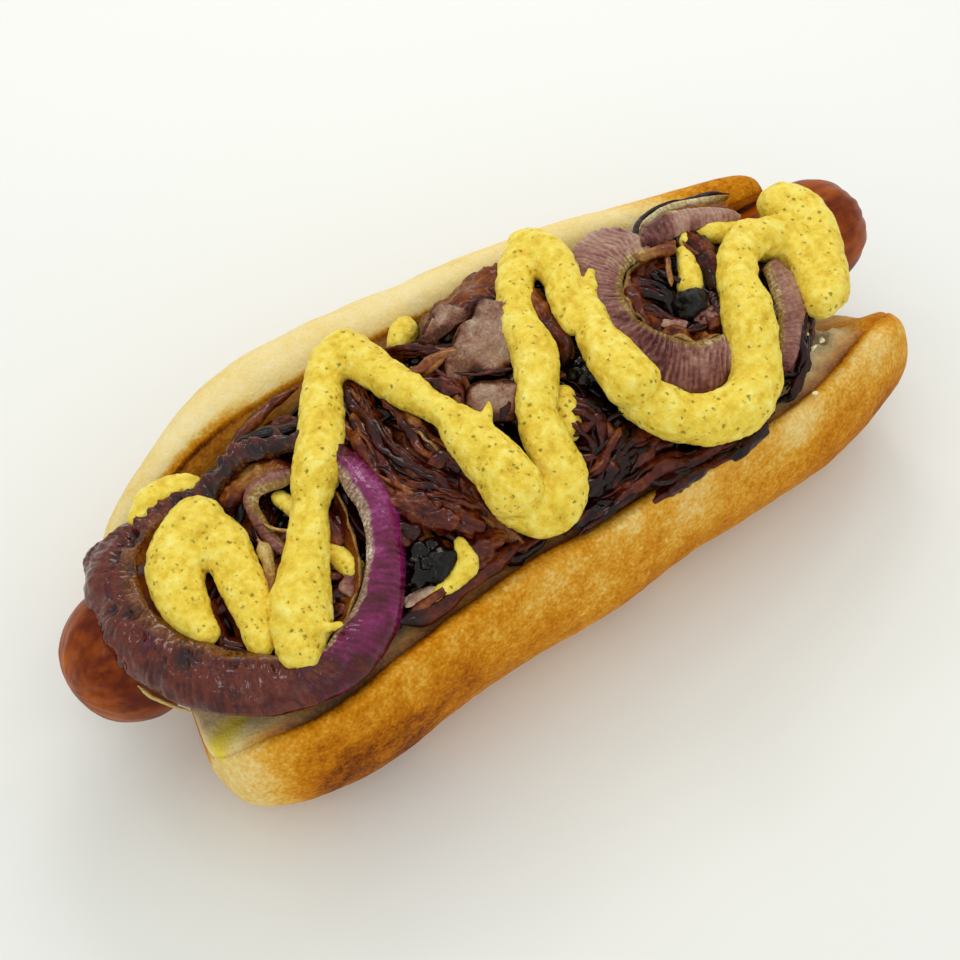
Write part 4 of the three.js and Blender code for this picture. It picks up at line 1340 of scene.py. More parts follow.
CURL_LEFT = flesh(
    "onion_curl_left", ["onion_curl_left"],
    upper=[
        (-53.8, -9.5, 0.6), (-54.6, -6, 0.8), (-54.8, -2.5, 1), (-54.2, 1, 1.2), (-53, 3.6, 1.4),
        (-51, 5.9, 1.6), (-48, 6.2, 1.6), (-43, 4.2, 1.4),
    ],
    lower=[
        (-52.6, -9.5, 1.4), (-52.8, -7.5, 1.6), (-52.6, -4, 1.8), (-52.4, -1, 2.2), (-51.8, 0.8, 2.6),
        (-50.6, 1.6, 3), (-48.8, 1.2, 3.2), (-45, -0.8, 3),
    ],
    wall=1.1, steps=150, bow=0.8, cut_side=1, cut_width=((0, 0.3), (0.4, 0.8), (0.7, 1.8), (1, 1)), fold=0.5,
    fold_size=4, shade=((0, 0.34), (0.5, 0.42), (0.75, 0.56), (1, 0.4)), seed=14, pointed=0.1,
)
PETAL_UPPER = petal(
    "onion_petal_upper", ["onion_petal_upper"],
    upper=[(-9.5, 10, 1.4), (-5.5, 17, 1.2), (0.5, 21, 1.2), (7, 21.8, 1.4), (14, 19.5, 1.8), (17, 17, 1.6)],
    lower=[(-7.5, 8, 2.2), (-3, 9.5, 2.8), (0.5, 10, 3), (4, 10, 3), (9.5, 9.5, 2.6), (13.5, 10, 2)],
    steps=170, corners=60, bow=1.6, fold=1.4, fold_size=4.5, wrinkle=0.3, wrinkle_size=1.2, ragged=1,
    cut_width=((0, 0.6), (0.5, 0.9), (1, 0.4)),
    shade=((0, 0.5), (0.3, 0.3), (0.5, 0.5), (0.8, 0.34), (1, 0.4)), seared=0.3, seed=17, square=0.95,
    pointed=0.16,
)
PETAL_TAN = soft(
    "onion_petal_tan", ["onion_petal_upper"],
    upper=[(-10, 10.8, 2.4), (-7, 13, 3), (-3.5, 14.4, 3.4), (0, 13.6, 3.6), (3, 11, 3.2)],
    lower=[(-10.5, 8.8, 2.6), (-7, 8.4, 3.4), (-3, 8.6, 3.8), (0, 9, 3.8), (3, 9.2, 3.2)],
    wall=1.0, bow=1.2, fold=1.4, fold_size=3, wrinkle=0.4, wrinkle_size=1.0, ragged=0.9, corners=52,
    cut_width=even(0.2), shade=((0, 0.6), (0.4, 0.72), (1, 0.5)), seared=0.42, seed=43, square=1, pointed=0.3,
)
PETAL_MIDDLE = soft(
    "onion_petal_middle", ["onion_petal_middle"],
    upper=[(-13, 1, 1.8), (-8, 4.8, 2.6), (-3, 7.8, 3.2), (2, 10.5, 3.4), (7, 9.5, 2.8), (9, 7, 2.2)],
    lower=[(-12, -2, 2), (-8, -3.4, 3), (-4.5, -5.2, 3.2), (0, -5, 3), (4, -2, 2.8), (7, 1, 2)],
    wall=1.0, steps=160, corners=60, bow=1, fold=1.8, fold_size=4, wrinkle=0.4, wrinkle_size=1.1, ragged=1.2,
    cut_width=even(0.3), shade=((0, 0.3), (0.25, 0.6), (0.5, 0.78), (0.75, 0.62), (1, 0.36)), seared=0.5,
    seed=20, square=0.95, pointed=0.25,
)
PETAL_LOWER = soft(
    "onion_petal_lower", ["onion_petal_middle"],
    upper=[(-12.5, -5, 1.6), (-9, -3.8, 2.2), (-5.5, -5.4, 2.6), (-1.5, -8, 2.4)],
    lower=[(-13, -9, 1.4), (-11.5, -12, 2), (-8, -13.6, 2.2), (-4, -13, 1.8)],
    wall=1.2, steps=120, corners=56, bow=1.1, fold=1.4, fold_size=4, wrinkle=0.3, ragged=0.9,
    cut_width=even(0.2), shade=((0, 0.3), (0.3, 0.6), (0.7, 0.7), (1, 0.4)), seared=0.42, seed=45,
    square=0.95, pointed=0.25,
)
PETAL_BETWEEN = petal(
    "onion_petal_between_beads", ["onion_heap"],
    upper=[(16, 10, 2.4), (14.5, 3, 2.4), (12.5, -4, 2.2), (10.5, -10, 2)],
    lower=[(8, 3.5, 1.4), (6.5, -1, 1.4), (6, -6, 1.4), (6.5, -10.5, 1)],
    steps=130, corners=52, bow=1.2, fold=1, fold_size=4, wrinkle=0.3, ragged=0.8, cut_width=even(0.2),
    shade=((0, 0.5), (0.5, 0.36), (1, 0.1)), seared=0.3, seed=47, square=1, pointed=0.15,
)
PETAL_LEFT = petal(
    "onion_petal_left", ["onion_petal_left"],
    upper=[(-58, 7, -0.4), (-51, 13, -0.4), (-43, 16, 0), (-35, 15, 0.4)],
    lower=[(-56, 3, -0.4), (-50, 8, -0.2), (-43, 10, 0), (-37, 8.5, 0.4)],
    wall=1.4, bow=1.1, fold=1, fold_size=4, wrinkle=0.3, ragged=0.8, cut_width=even(0.3), corners=52,
    shade=((0, 0.4), (0.3, 0.36), (0.6, 0.14), (1, 0.3)), seed=23, square=1, pointed=0.2,
)
PETAL_OLIVE = petal(
    "onion_petal_olive", ["onion_petal_left"],
    upper=[(-57, 8, 0.2), (-53.5, 10.3, 0.6), (-49.5, 10.6, 0.8), (-45, 9.4, 0.8), (-41, 4, 0.8)],
    lower=[(-56.5, 4, -0.2), (-54, 4.6, 0.2), (-51, 4.6, 0.4), (-47, 4, 0.4), (-43.5, -0.5, 0.4)],
    wall=1.0, bow=0.7, fold=1.2, fold_size=3.5, wrinkle=0.3, ragged=0.7, cut_width=even(0.2), corners=52,
    shade=((0, 0.5), (0.5, 0.66), (0.8, 0.5), (1, 0.3)), seared=0.4, seed=49, square=1, pointed=0.2,
)
HOLLOW_WALL = petal(
    "onion_hollow_wall", ["onion_heap"],
    upper=[
        (41, 0.4, 1.6), (37, 1.2, 1.8), (33, 1, 2), (30, -0.4, 2), (27.5, -2.5, 2), (25.8, -6, 2),
        (25, -9, 2), (25, -12, 2), (26.5, -15, 2), (29, -17.8, 2), (33, -19.6, 1.8), (38.5, -20.5, 1.6),
    ],
    lower=[
        (40.5, -1.4, -0.6), (39, -1.2, -1.6), (36.6, -2, -2.2), (34.6, -3.4, -2.4), (33.2, -5.4, -2.4),
        (32.2, -8, -2.4), (31.8, -10, -2.2), (31.6, -12, -1.8), (32.6, -13.5, -1.2), (34.4, -15, -0.4),
        (37, -16, 0), (40.5, -16.5, 0),
    ],
    wall=1.2, steps=220, corners=60, bow=-1.1, fold=1.2, fold_size=3.5, wrinkle=0.5, ragged=0.5,
    cut_width=((0, 0.6), (0.8, 0.8), (1, 0.2)),
    shade=((0, 0.3), (0.2, 0.22), (0.4, 0.4), (0.6, 0.26), (0.75, 0.36), (1, 0.5)), seed=51,
)
RING_WALL = petal(
    "onion_ring_inner_wall", ["onion_ring_left"],
    upper=[(-40, -6, 3), (-42.5, -14, 3), (-45.5, -20.5, 3), (-51, -25.5, 3), (-58, -27, 3)],
    lower=[(-42.5, -4, -1.4), (-44.5, -11, -1.6), (-47.5, -16.5, -1.6), (-52, -20.5, -1.6), (-57, -22, -1.6)],
    wall=1.2, steps=150, bow=-0.7, fold=0.6, fold_size=4, wrinkle=0.2, cut_width=even(0.2),
    shade=((0, 0.14), (0.4, 0.36), (0.7, 0.5), (1, 0.2)), seed=53,
)
LAYERS = (
    RING_LEFT, SLICE_RIGHT, CURL_RIGHT, CURL_CREAM, CURL_UNDER, CURL_WEDGE, BAND_RIGHT, CURL_LEFT,
    PETAL_UPPER, PETAL_TAN,
    PETAL_MIDDLE, PETAL_LOWER, PETAL_BETWEEN, PETAL_LEFT, PETAL_OLIVE, HOLLOW_WALL, RING_WALL,
)


# ---- Mustard -------------------------------------------------------------------------------------------


@dataclass
class PipedMustard:
    """Piped mustard: beads through [x, y, radius, lift over the heap], run into one body."""

    name: str
    nodes: Sequence[str]
    legs: Sequence[Spots]
    flatness: float = 0.9
    step: float = 0.7
    corners: int = 28
    voxel: float = 0.38
    lump: float = 1.1
    lump_size: float = 4
    grain: float = 0.6
    grain_size: float = 1.6
    seed: int = 4

    def bead(self, leg: Spots, seed: int) -> tuple[Array, list[Sequence[int]]]:
        """Vertices and faces of one bead with round ends."""
        rows = np.array(leg, float)
        knots = on_heap([(x, y, lift) for x, y, _, lift in leg])
        rough_length = np.linalg.norm(np.diff(knots, axis=0), axis=1).sum()
        share = np.linspace(0, 1, max(8, round(rough_length / self.step)))
        line = spline(knots, share)
        radius = spline(np.stack([rows[:, 2]] * 3, axis=-1), share)[:, 0]
        ahead = unit(np.gradient(line, axis=0))
        cap = np.array([0.12, 0.35, 0.6, 0.8, 0.93])
        push = np.sqrt(1 - cap**2)
        line = np.vstack([
            line[0] - ahead[0] * (radius[0] * push)[:, None], line,
            line[-1] + ahead[-1] * (radius[-1] * push[::-1])[:, None],
        ])
        size = np.concatenate([radius[0] * cap, radius, radius[-1] * cap[::-1]])
        ahead = np.vstack([[ahead[0]] * len(cap), ahead, [ahead[-1]] * len(cap)])
        side = unit(np.stack([-ahead[:, 1], ahead[:, 0], np.zeros(len(ahead))], axis=-1))
        up = unit(np.cross(ahead, side))
        angle = full_turn(self.corners)
        rim = side[:, None] * np.cos(angle)[:, None] + up[:, None] * (np.sin(angle) * self.flatness)[:, None]
        points = line[:, None] + rim * size[:, None, None]
        swell = 1 + 0.05 * blobs(points, 7, seed) + 0.03 * blobs(points, 2.6, seed + 1)
        points = line[:, None] + (points - line[:, None]) * swell[..., None]
        return points.reshape(-1, 3), closed_faces(len(line), self.corners)

    def build(self, tree: Tree) -> bpy.types.Object:
        """Builds the beads, runs them together and gives them lumps.

        Args:
            tree: the geometry tree that makes the lumps.

        Returns:
            The finished piece.
        """
        points, faces, start = [], [], 0
        for i, leg in enumerate(self.legs):
            bead_points, bead_faces = self.bead(leg, self.seed + 3 * i)
            points.append(bead_points)
            faces += [tuple(v + start for v in face) for face in bead_faces]
            start += len(bead_points)
        made = make_object(self.name, np.vstack(points), faces, {})
        joiner = made.modifiers.new("run_together", "REMESH")
        joiner.mode = "VOXEL"
        joiner.voxel_size = self.voxel * MM
        smoother = made.modifiers.new("settle", "SMOOTH")
        smoother.factor = 0.5
        smoother.iterations = 2
        grow(made, tree, {
            "Lump height": self.lump * MM, "Lump size": self.lump_size * MM,
            "Grain height": self.grain * MM, "Grain size": self.grain_size * MM,
            "Seed": self.seed, "Finish": Finish.MUSTARD.material(),
        })
        return register(made, self.nodes)


ZIGZAG = PipedMustard("mustard_zigzag_piped", ["mustard_zigzag"], [
    [
        (-62, -26.6, 4.2, 4), (-59.3, -22.8, 5.5, 3.6), (-57.2, -19.4, 5.5, 3.4), (-54.6, -16.6, 4.8, 3.2),
        (-51.5, -13, 4, 3.2), (-49, -10.3, 3.7, 3.2), (-45.8, -6.4, 3.3, 3.2), (-43.8, -4, 4, 3.4),
        (-41, -1.2, 4.5, 3.6), (-37.2, 3.3, 4.3, 3.2), (-33.6, 8, 4.2, 3.2), (-29.3, 14.3, 3.6, 3.4),
        (-25.3, 18, 4.2, 4.2), (-21, 18.8, 4.4, 4.4),
    ],
    [
        (-21, 18.8, 4.4, 4.4), (-20.6, 14, 4.2, 4.2), (-20, 7.5, 3.7, 3.6), (-18.9, 1.3, 3.6, 3.4),
        (-17.6, -3.6, 3, 3.2), (-17, -7, 3.1, 3.6), (-16.8, -11.4, 4.3, 4), (-16.7, -16, 4.8, 4.4),
        (-16.3, -20.8, 5.3, 5.2), (-16.6, -25.4, 5.7, 6),
    ],
    [
        (-16.2, -26.5, 4.4, 2), (-13.4, -29.3, 4.9, 2.2), (-9.5, -29.7, 4.9, 2.6), (-6.8, -27, 4.7, 3),
        (-5.5, -22.7, 4.2, 3.2), (-5, -19, 3.9, 3.2), (-3.2, -15, 3.7, 3.2), (-0.6, -12, 4, 3.2),
        (3.8, -5.5, 4.4, 3.4), (5.3, -0.4, 3.6, 3.2), (7.6, 4.6, 3.5, 3.2), (11.3, 9.6, 3.6, 3.4),
        (15.7, 14.3, 3.9, 4), (20.6, 17, 4.5, 4.6),
    ],
    [
        (20.6, 17, 4.5, 4.6), (21, 11.8, 4.3, 4), (19.2, 5.5, 3.6, 3.4), (15.7, -0.2, 3.2, 3.2),
        (13.2, -4.5, 2.3, 3.2),
    ],
    [
        (19.7, -0.8, 1.6, 3.4), (17.5, -5, 2.9, 3.4), (15, -10, 4, 3.6), (14, -16, 5, 4.2),
        (13.7, -21, 5.3, 5.4),
    ],
    [
        (14.5, -23, 4.6, 2.4), (16.2, -26.5, 4.8, 3.2), (19.2, -30, 4.8, 4), (23.5, -32.5, 5.1, 4.6),
        (29, -33.4, 5.2, 4.8), (35, -31.5, 5, 4.2), (38, -28.3, 4.8, 3.8), (40.2, -24.4, 5, 3.6),
        (43.4, -19, 4.9, 3.4), (46, -13.6, 4, 3.4), (51.7, -7.7, 4, 3.4), (57.6, -5.4, 4.6, 3.4),
    ],
    [
        (57.5, -5.5, 4.6, 3.4), (65, -7.5, 4.8, 3), (64, -14.5, 4.4, 3), (61, -20.5, 4, 3.4),
        (58.6, -24, 3.8, 4),
    ],
    [
        (70.5, -0.5, 5, 3.6), (72, -4, 5.4, 3.6), (69.5, -11, 5, 3.6), (65, -18.5, 4.6, 4),
        (61, -23.4, 4.2, 4.6),
    ],
    [(-58, -25, 1.4, 6), (-56.5, -27.5, 0.9, 6.5), (-55, -28.5, 0.6, 7.4)],
    [(24.5, 3.5, 0.8, 3.4), (21.5, 0.5, 1.5, 3.6), (19, -2, 2, 3.4)],
    [(-13, -13, 1.4, 5.4), (-11.6, -12, 0.9, 5.8), (-10.8, -11.2, 0.5, 6.2)],
])
LEFT_V = PipedMustard("mustard_v_piped", ["mustard_left"], [
    [
        (-62.5, 5, 5.4, 3), (-67.6, 2.4, 5.4, 3), (-71.6, -3, 4.9, 3), (-72.8, -8.5, 4.2, 3),
        (-72.6, -13.8, 2.6, 3),
    ],
    [
        (-62.5, 5, 5, 3), (-61.2, -1, 4.6, 3), (-61.8, -6.5, 4.2, 3), (-63.1, -12, 3.8, 3),
        (-65.1, -18, 3, 3.1), (-66.6, -21.3, 2.4, 3.2),
    ],
], seed=31)
SMEAR = PipedMustard("mustard_smear_piped", ["mustard_smear"], [
    [(-66.5, 14.5, 2.8, 2.4), (-62.5, 14.5, 3, 2.2), (-59, 13, 2.6, 2.2)],
    [(-69.6, 13, 1.9, 2), (-66.5, 14.5, 2.4, 2.4)],
], seed=47)
DABS = PipedMustard("mustard_dabs", [], [
    [(-11.5, 16, 2, 0.4), (-8.5, 18, 2.8, 0.8), (-6.5, 20.5, 1.8, 0.6)],
    [(3.8, -14.5, 2.2, 0.2), (2.2, -17, 2.6, 0.2), (0.4, -20, 2.2, 0)],
    [(-28.6, -26.5, 1.3, 1.8), (-29.6, -29.6, 2.2, 1.4), (-34, -30.6, 1.8, 0.8), (-38.5, -30.6, 1.1, 0.6)],
    [(-46.8, -14, 1.8, 0.4), (-46, -18.5, 2.2, 0.2)],
    [(-48, 0.5, 1.6, 0.8), (-47, -3.5, 1.8, 0.6)],
    [(43.5, -1, 1.4, 1), (41.6, -5, 2.2, 0.8), (39, -8.4, 2.6, 0.2)],
    [(50.5, 2, 1.8, 1.8), (54, 0, 2.2, 2), (58, -1, 2, 2)],
    [(48, 3, 1.3, 2), (45.8, 0.6, 1.4, 1.4)],
], voxel=0.3, lump=0.7, seed=61)


# ---- The heap of fried onions --------------------------------------------------------------------------


@dataclass(frozen=True)
class ShredBed:
    """Where shreds lie: middle, spread, heading in degrees from +X, its swing, count, length and shade."""

    x: float
    y: float
    spread_x: float
    spread_y: float
    heading: float
    swing: float
    count: int
    length: float
    shade: float = 0.35


@dataclass(frozen=True)
class Strand:
    """Shreds that run together along an [x, y, lift] line: width, how pale, how many and how far apart."""

    line: Spots
    width: float
    shade: float
    count: int = 1
    apart: float = 0.0


@dataclass
class StripSet:
    """Lines of shreds with the marks that the strip tree reads."""

    name: str
    nodes: Sequence[str]
    strands: Sequence[Strand] = ()
    thickness: float = 0.36
    sides: int = 12
    ripple: float = 1.3
    wander: float = 0.9
    spacing: float = 0.8
    seed: int = 5
    paths: list[Array] = field(default_factory=list)
    marks: dict[str, list[Array]] = field(default_factory=dict)

    def keep(self, knots: Array, width: float, shade: float, twist: float) -> None:
        """Adds one shred.

        Args:
            knots: rows of [x, y, z] in millimetres.
            width: width in millimetres.
            shade: how pale it is, from 0 to 1.
            twist: how it is turned about its line, in radians.
        """
        number = len(self.paths) + self.seed
        steps = max(10, int(np.linalg.norm(np.diff(knots, axis=0), axis=1).sum() / self.spacing))
        share = np.linspace(0, 1, steps)
        path = spline(knots, share)
        wobble = np.stack([blobs(path, 3.5, number + 50 + k) for k in range(3)], axis=-1)
        path = path + wobble * np.array([1, 1, 0.6]) * self.wander
        slim = np.clip(np.minimum(share, 1 - share) * 7, 0.25, 1)
        self.paths.append(path)
        for name, values in (
            ("width", width * MM * slim * (1 + 0.3 * blobs(path, 3, 7))),
            ("twist", twist + 1.1 * blobs(path, 6, number)),
            ("shade", shade + 0.14 * blobs(path, 5, number + 9)),
            ("cut", path[:, 0] * 0),
            ("run", share * steps * self.spacing),
            ("side", path[:, 0] * 0 + number * 3.7),
        ):
            self.marks.setdefault(name, []).append(values)

    def build(self, tree: Tree) -> bpy.types.Object:
        """Builds the shreds as one piece.

        Args:
            tree: the geometry tree that turns lines into strips.

        Returns:
            The finished piece.
        """
        random = np.random.default_rng(self.seed)
        for strand in self.strands:
            line = on_heap(strand.line)
            for number in range(strand.count):
                drift = random.uniform(-1, 1, (len(line), 3)) * strand.apart * 0.35
                offset = random.uniform(-1, 1, 3) * strand.apart if number else np.zeros(3)
                offset[2] *= 0.35
                shade = strand.shade + (random.uniform(-0.22, 0.22) if strand.count > 1 else 0)
                width = strand.width * (random.uniform(0.6, 1.25) if strand.count > 1 else 1)
                self.keep(line + offset + (drift if number else 0), width, shade, random.uniform(-0.5, 0.5))
        made = make_paths(self.name, self.paths, self.marks)
        grow(made, tree, {
            "Thickness share": self.thickness, "Sides": self.sides, "Ripple height": self.ripple * MM,
            "Ripple size": 2 * MM, "Seed": self.seed, "Finish": Finish.FRIED.material(),
        })
        return register(made, self.nodes)


@dataclass
class OnionHeap:
    """The heap of fried shreds round the sausage: a dark core with strips over it."""

    left: float = -60
    right: float = 64
    bottom: float = 27
    sunk: float = 2.8
    rings: int = 330
    across: int = 110
    hollows: Spots = ((-62, -8, 9, 4), (35, -8, 6, 4))
    beds: Sequence[ShredBed] = (
        ShredBed(20, -28, 34, 6, 8, 14, 46, 24, 0.26),
        ShredBed(-27, -12, 10, 16, -72, 26, 44, 22, 0.42),
        ShredBed(-38, 9, 14, 6, 20, 30, 20, 20, 0.3),
        ShredBed(4, 2, 14, 16, -50, 60, 26, 18, 0.3),
        ShredBed(52, -4, 9, 13, 60, 40, 22, 16, 0.3),
        ShredBed(30, -6, 7, 8, 40, 70, 16, 12, 0.36),
        ShredBed(-56, -12, 14, 16, -40, 70, 40, 16, 0.28),
    )
    bundles: Sequence[Strand] = (
        Strand(
            [(-24, 15, 1.2), (-26, 6, 1.8), (-28, -5, 2), (-26, -15, 1.6), (-22, -24, 1)], 1.8, 0.5, 9, 1.8,
        ),
        Strand([(-19, 9, 1), (-22, 0, 1.8), (-22, -9, 2), (-19, -18, 1.2)], 1.7, 0.56, 9, 1.7),
        Strand([(-28, 10, 1), (-31, 0, 1.8), (-32, -9, 1.4), (-30, -16, 1)], 1.8, 0.42, 7, 1.5),
        Strand([(-34, -7, 1.4), (-30, -14, 2), (-25, -20, 2), (-21, -26, 1)], 1.7, 0.5, 7, 1.5),
        Strand([(-16, 16, 1.2), (-12, 11, 2.2), (-9, 7, 2.4), (-5, 5, 1.4)], 1.5, 0.5, 7, 1.3),
        Strand([(-15, 9, 1.2), (-12, 4, 2.2), (-11, -1, 2), (-12, -6, 1)], 1.6, 0.56, 6, 1.3),
        Strand([(-9, -34, 0.8), (0, -33, 1.4), (9, -33, 1.2), (18, -35, 1)], 2.2, 0.3, 9, 1.8),
        Strand([(-5, -30, 0.8), (3, -27, 1.8), (9, -25, 1.2)], 2.2, 0.38, 8, 2),
        Strand([(0, -14, 0.6), (4, -20, 1.4), (3, -28, 1)], 2.2, 0.3, 7, 1.8),
        Strand([(12, -34, 0.8), (20, -35.6, 1.2), (28, -35.4, 1.2), (36, -34.6, 0.8)], 2.2, 0.3, 7, 1.2),
        Strand([(44, -31, 0.6), (50, -25.5, 1.2), (57, -18, 0.6)], 2.2, 0.3, 7, 1.4),
        Strand([(44, 1, 1), (44.5, -5, 1.2), (43, -12, 0.6)], 1.5, 0.36, 5, 1.2),
        Strand([(51, 3, 0.6), (48.5, -2, 1), (46, -9, 0.6)], 1.6, 0.36, 6, 1.3),
    )
    seed: int = 11

    def core(self) -> bpy.types.Object:
        """Builds the dark crumpled core under the shreds."""
        share = np.linspace(0, 1, self.rings)
        x = self.left + (self.right - self.left) * share
        fade = np.sqrt(np.maximum(1 - np.abs(2 * share - 1) ** 7, 0.1))
        near, far = (heap_near(x) + 2) * fade, HEAP_FAR_Y(x) * fade
        t = np.linspace(0, 1, self.across)
        y = near[:, None] + (far - near)[:, None] * t
        xs = np.broadcast_to(x[:, None], y.shape)
        drop = np.abs(2 * t - 1) ** 6 * 3 + (1 - fade)[:, None] * 8
        z = heap_top(xs, y) - self.sunk - drop
        for hollow_x, hollow_y, radius, depth in self.hollows:
            z = z - depth * np.exp(-((xs - hollow_x) ** 2 + (y - hollow_y) ** 2) / radius**2)
        top = np.stack([xs, y, z], axis=-1)
        top[..., 2] += 1.8 * (crumple(top, 5, 3) - 0.5) + 0.9 * (crumple(top, 2.2, 6) - 0.5)
        low_y = np.stack([far * 0.85, far * 0.5, near * 0.5, near * 0.85], axis=-1)
        low_x = np.broadcast_to(x[:, None], low_y.shape)
        low = np.stack([low_x, low_y, np.full_like(low_y, self.bottom)], axis=-1)
        rings = np.concatenate([top, low], axis=1)
        count, corners = rings.shape[:2]
        faces = closed_faces(count, corners, corners // 2)
        shade = 0.16 + 0.12 * blobs(rings, 6, 8)
        marks = {"shade": shade, "cut": shade * 0, "run": rings[..., 0], "side": rings[..., 1]}
        made = make_object("fried_onion_core", rings.reshape(-1, 3), faces, marks)
        return register(dress(made, Finish.FRIED), ["onion_heap"])

    def in_hollow(self, x: float, y: float) -> bool:
        """Whether a place is in one of the hollows."""
        return any(math.hypot(x - hx, y - hy) < radius * 0.85 for hx, hy, radius, _ in self.hollows[1:])

    def build(self, tree: Tree) -> None:
        """Builds the core and the shreds.

        Args:
            tree: the geometry tree that turns lines into strips.
        """
        self.core()
        random = np.random.default_rng(self.seed)
        shreds = StripSet("fried_onion_strips", ["onion_heap"], self.bundles, seed=self.seed)
        for bed in self.beds:
            for _ in range(bed.count):
                x = bed.x + random.uniform(-1, 1) * bed.spread_x
                y = bed.y + random.uniform(-1, 1) * bed.spread_y
                heading = math.radians(bed.heading + random.uniform(-1, 1) * bed.swing)
                length = bed.length * random.uniform(0.7, 1.25)
                bend = random.uniform(-5, 5)
                lift = random.choice([0.8, 0.2, -0.4, -1.0, -1.8])
                knots = []
                for share in (-0.5, -0.25, 0, 0.25, 0.5):
                    ahead, aside = share * length, bend * (1 - 4 * share * share)
                    px = x + math.cos(heading) * ahead - math.sin(heading) * aside
                    py = y + math.sin(heading) * ahead + math.cos(heading) * aside
                    py = float(np.clip(py, heap_near(px) + 1, HEAP_FAR_Y(px) + 1))
                    knots.append((px, py, lift - abs(share) * 2 + random.uniform(-0.4, 0.4)))
                # painted shade: shreds that lie lower in the heap are coloured darker
                shade = bed.shade + random.uniform(-0.24, 0.24) + 0.09 * (lift + 0.6)
                width = random.uniform(1.3, 3.6)
                if not any(self.in_hollow(*knot[:2]) for knot in knots):
                    shreds.keep(on_heap(knots), width, shade, random.uniform(-0.5, 0.5))
        shreds.build(tree)


STRAND_SETS = (
    StripSet("onion_strip_on_rim", ["onion_strip_near"], [
        Strand(
            [(-46, -30.5, 0.8), (-39, -32.5, 1.2), (-32, -32, 1.4), (-25, -31.5, 1.2), (-19, -31, 0.6)],
            3.2, 0.44,
        ),
        Strand([(-44, -30.8, 1), (-38, -31.2, 1.6), (-31, -31, 1.8), (-24, -30.5, 1.2)], 1.5, 0.56),
    ], thickness=0.5, ripple=0.7, wander=0.3, seed=9),
    StripSet("onion_curl_dark_edge", ["onion_curl_right"], [
        Strand([
            (35.8, 3, 2.4), (36.8, 5.4, 3), (39.4, 8, 3), (43, 10.4, 2.8), (48.5, 11.6, 2.6), (53, 11, 2.4),
            (58, 10.6, 2.4), (62, 10.6, 2.2), (65, 9, 2),
        ], 1.15, 0.22),
    ], thickness=0.8, ripple=0.4, wander=0.2, seed=19),
    StripSet("onion_threads", ["onion_heap"], [
        Strand([(-34, -6, 2.2), (-32, -11, 2.4), (-29, -15, 2)], 1.1, 0.66),
        Strand([(-28, -16, 2.2), (-25, -20, 2.6), (-23, -24, 2)], 1.1, 0.7),
        Strand([(11, -34, 1.6), (16, -35.8, 2), (22, -35.8, 2.2), (27, -35, 1.6)], 2.2, 0.4),
        Strand([(0, -22, 1.4), (4, -21.5, 2), (7, -21, 1.6)], 2.4, 0.4),
        Strand([(3, -27, 1.6), (8, -25, 2.2)], 2.2, 0.5),
        Strand([(-16.5, 7.5, 2.4), (-14, 4.6, 3.2), (-10, 5.2, 3.6), (-6, 3.6, 3.6), (-3, 3, 3.4)], 2, 0.7),
        Strand([(-15, 7, 2.6), (-13, 3.4, 3), (-9.5, 3.6, 3.6), (-6, 2.4, 3.6)], 1.2, 0.8),
        Strand([(-13, 13.5, 2), (-11.5, 11, 2.8), (-10, 8.5, 2.8)], 0.8, 0.74),
        Strand([(-1.5, -6.6, 3), (-5.5, -10.4, 3.2), (-9.5, -13.2, 2.6)], 1.6, 0.36),
        Strand([(-10.5, -0.6, 3.8), (-7.5, -3.8, 4.2), (-4.5, -5.4, 4.2), (-1, -6.4, 3.8)], 0.8, 0.4),
        Strand([(39.6, -0.6, 2.4), (37.6, -4, 2), (35.4, -7, 1)], 1.1, 0.76),
        Strand([(29, -2, 0.4), (32, -4, 0), (34, -7, -0.6), (33, -10.5, -1)], 1.9, 0.26, 5, 1.5),
        Strand([(27.5, -6, 0.2), (30, -8.5, -0.6), (31.5, -12, -1), (34, -15, -0.4)], 1.8, 0.34, 5, 1.4),
        Strand([(36, -1.5, 0.6), (37.5, -4.5, 0.4), (40, -8, 0), (41, -13, 0)], 1.9, 0.26, 4, 1.2),
        Strand([(31, -16, 0.4), (34.5, -16.6, 0.6), (38.5, -15, 0.6), (41, -12, 0.4)], 1.7, 0.44, 5, 1.2),
        Strand([(33, 2.4, 3), (36.5, 0.8, 3.2), (40, -0.2, 3.2), (43.4, 1, 2.8)], 2.2, 0.72),
        Strand([(-85.8, -12, -3), (-85, -15.5, -3), (-83.6, -19, -3), (-81.6, -22.2, -2.6)], 1, 1.1),
        Strand([(-48, 15, 2), (-44, 13.5, 3), (-40, 11, 3.4), (-36, 8.5, 3)], 2.4, 0.16, 3, 1.0),
        Strand([(-72.5, -12, 0), (-71, -17, 0.4), (-67, -21, 0.4)], 2.2, 0.3, 3, 1.2),
        Strand(
            [(-55.4, -4, 2), (-55.6, -7, 2.4), (-57.6, -11, 2.4), (-60, -14.5, 2.2), (-62, -18.5, 1.6)],
            2.2, 0.86,
        ),
        Strand([(-53.5, -2, 2.4), (-52, -5, 2.4), (-49.8, -8, 2)], 1.0, 0.9),
        Strand([(-47.5, -2.5, 1.4), (-45.5, -7, 1.8), (-44.5, -11.5, 1.6), (-46, -15, 1.2)], 2.8, 0.5),
        Strand([(-31, 20.5, 0.6), (-38, 19.5, 0.8), (-46, 16.5, 1), (-52, 12.5, 1)], 1.6, 0.5, 3, 0.8),
    ], thickness=0.5, ripple=0.6, wander=0.3, seed=29),
)


@dataclass(frozen=True)
class Scrap:
    """A crumpled scrap: place, lift, size along, across and high, heading in degrees, shade, crumpling."""

    x: float
    y: float
    lift: float
    size: tuple[float, float, float]
    heading: float
    shade: float
    crumpled: float = 0.35


SCRAP_STEP = 40  # how far apart two scraps of a pile lie in the noise


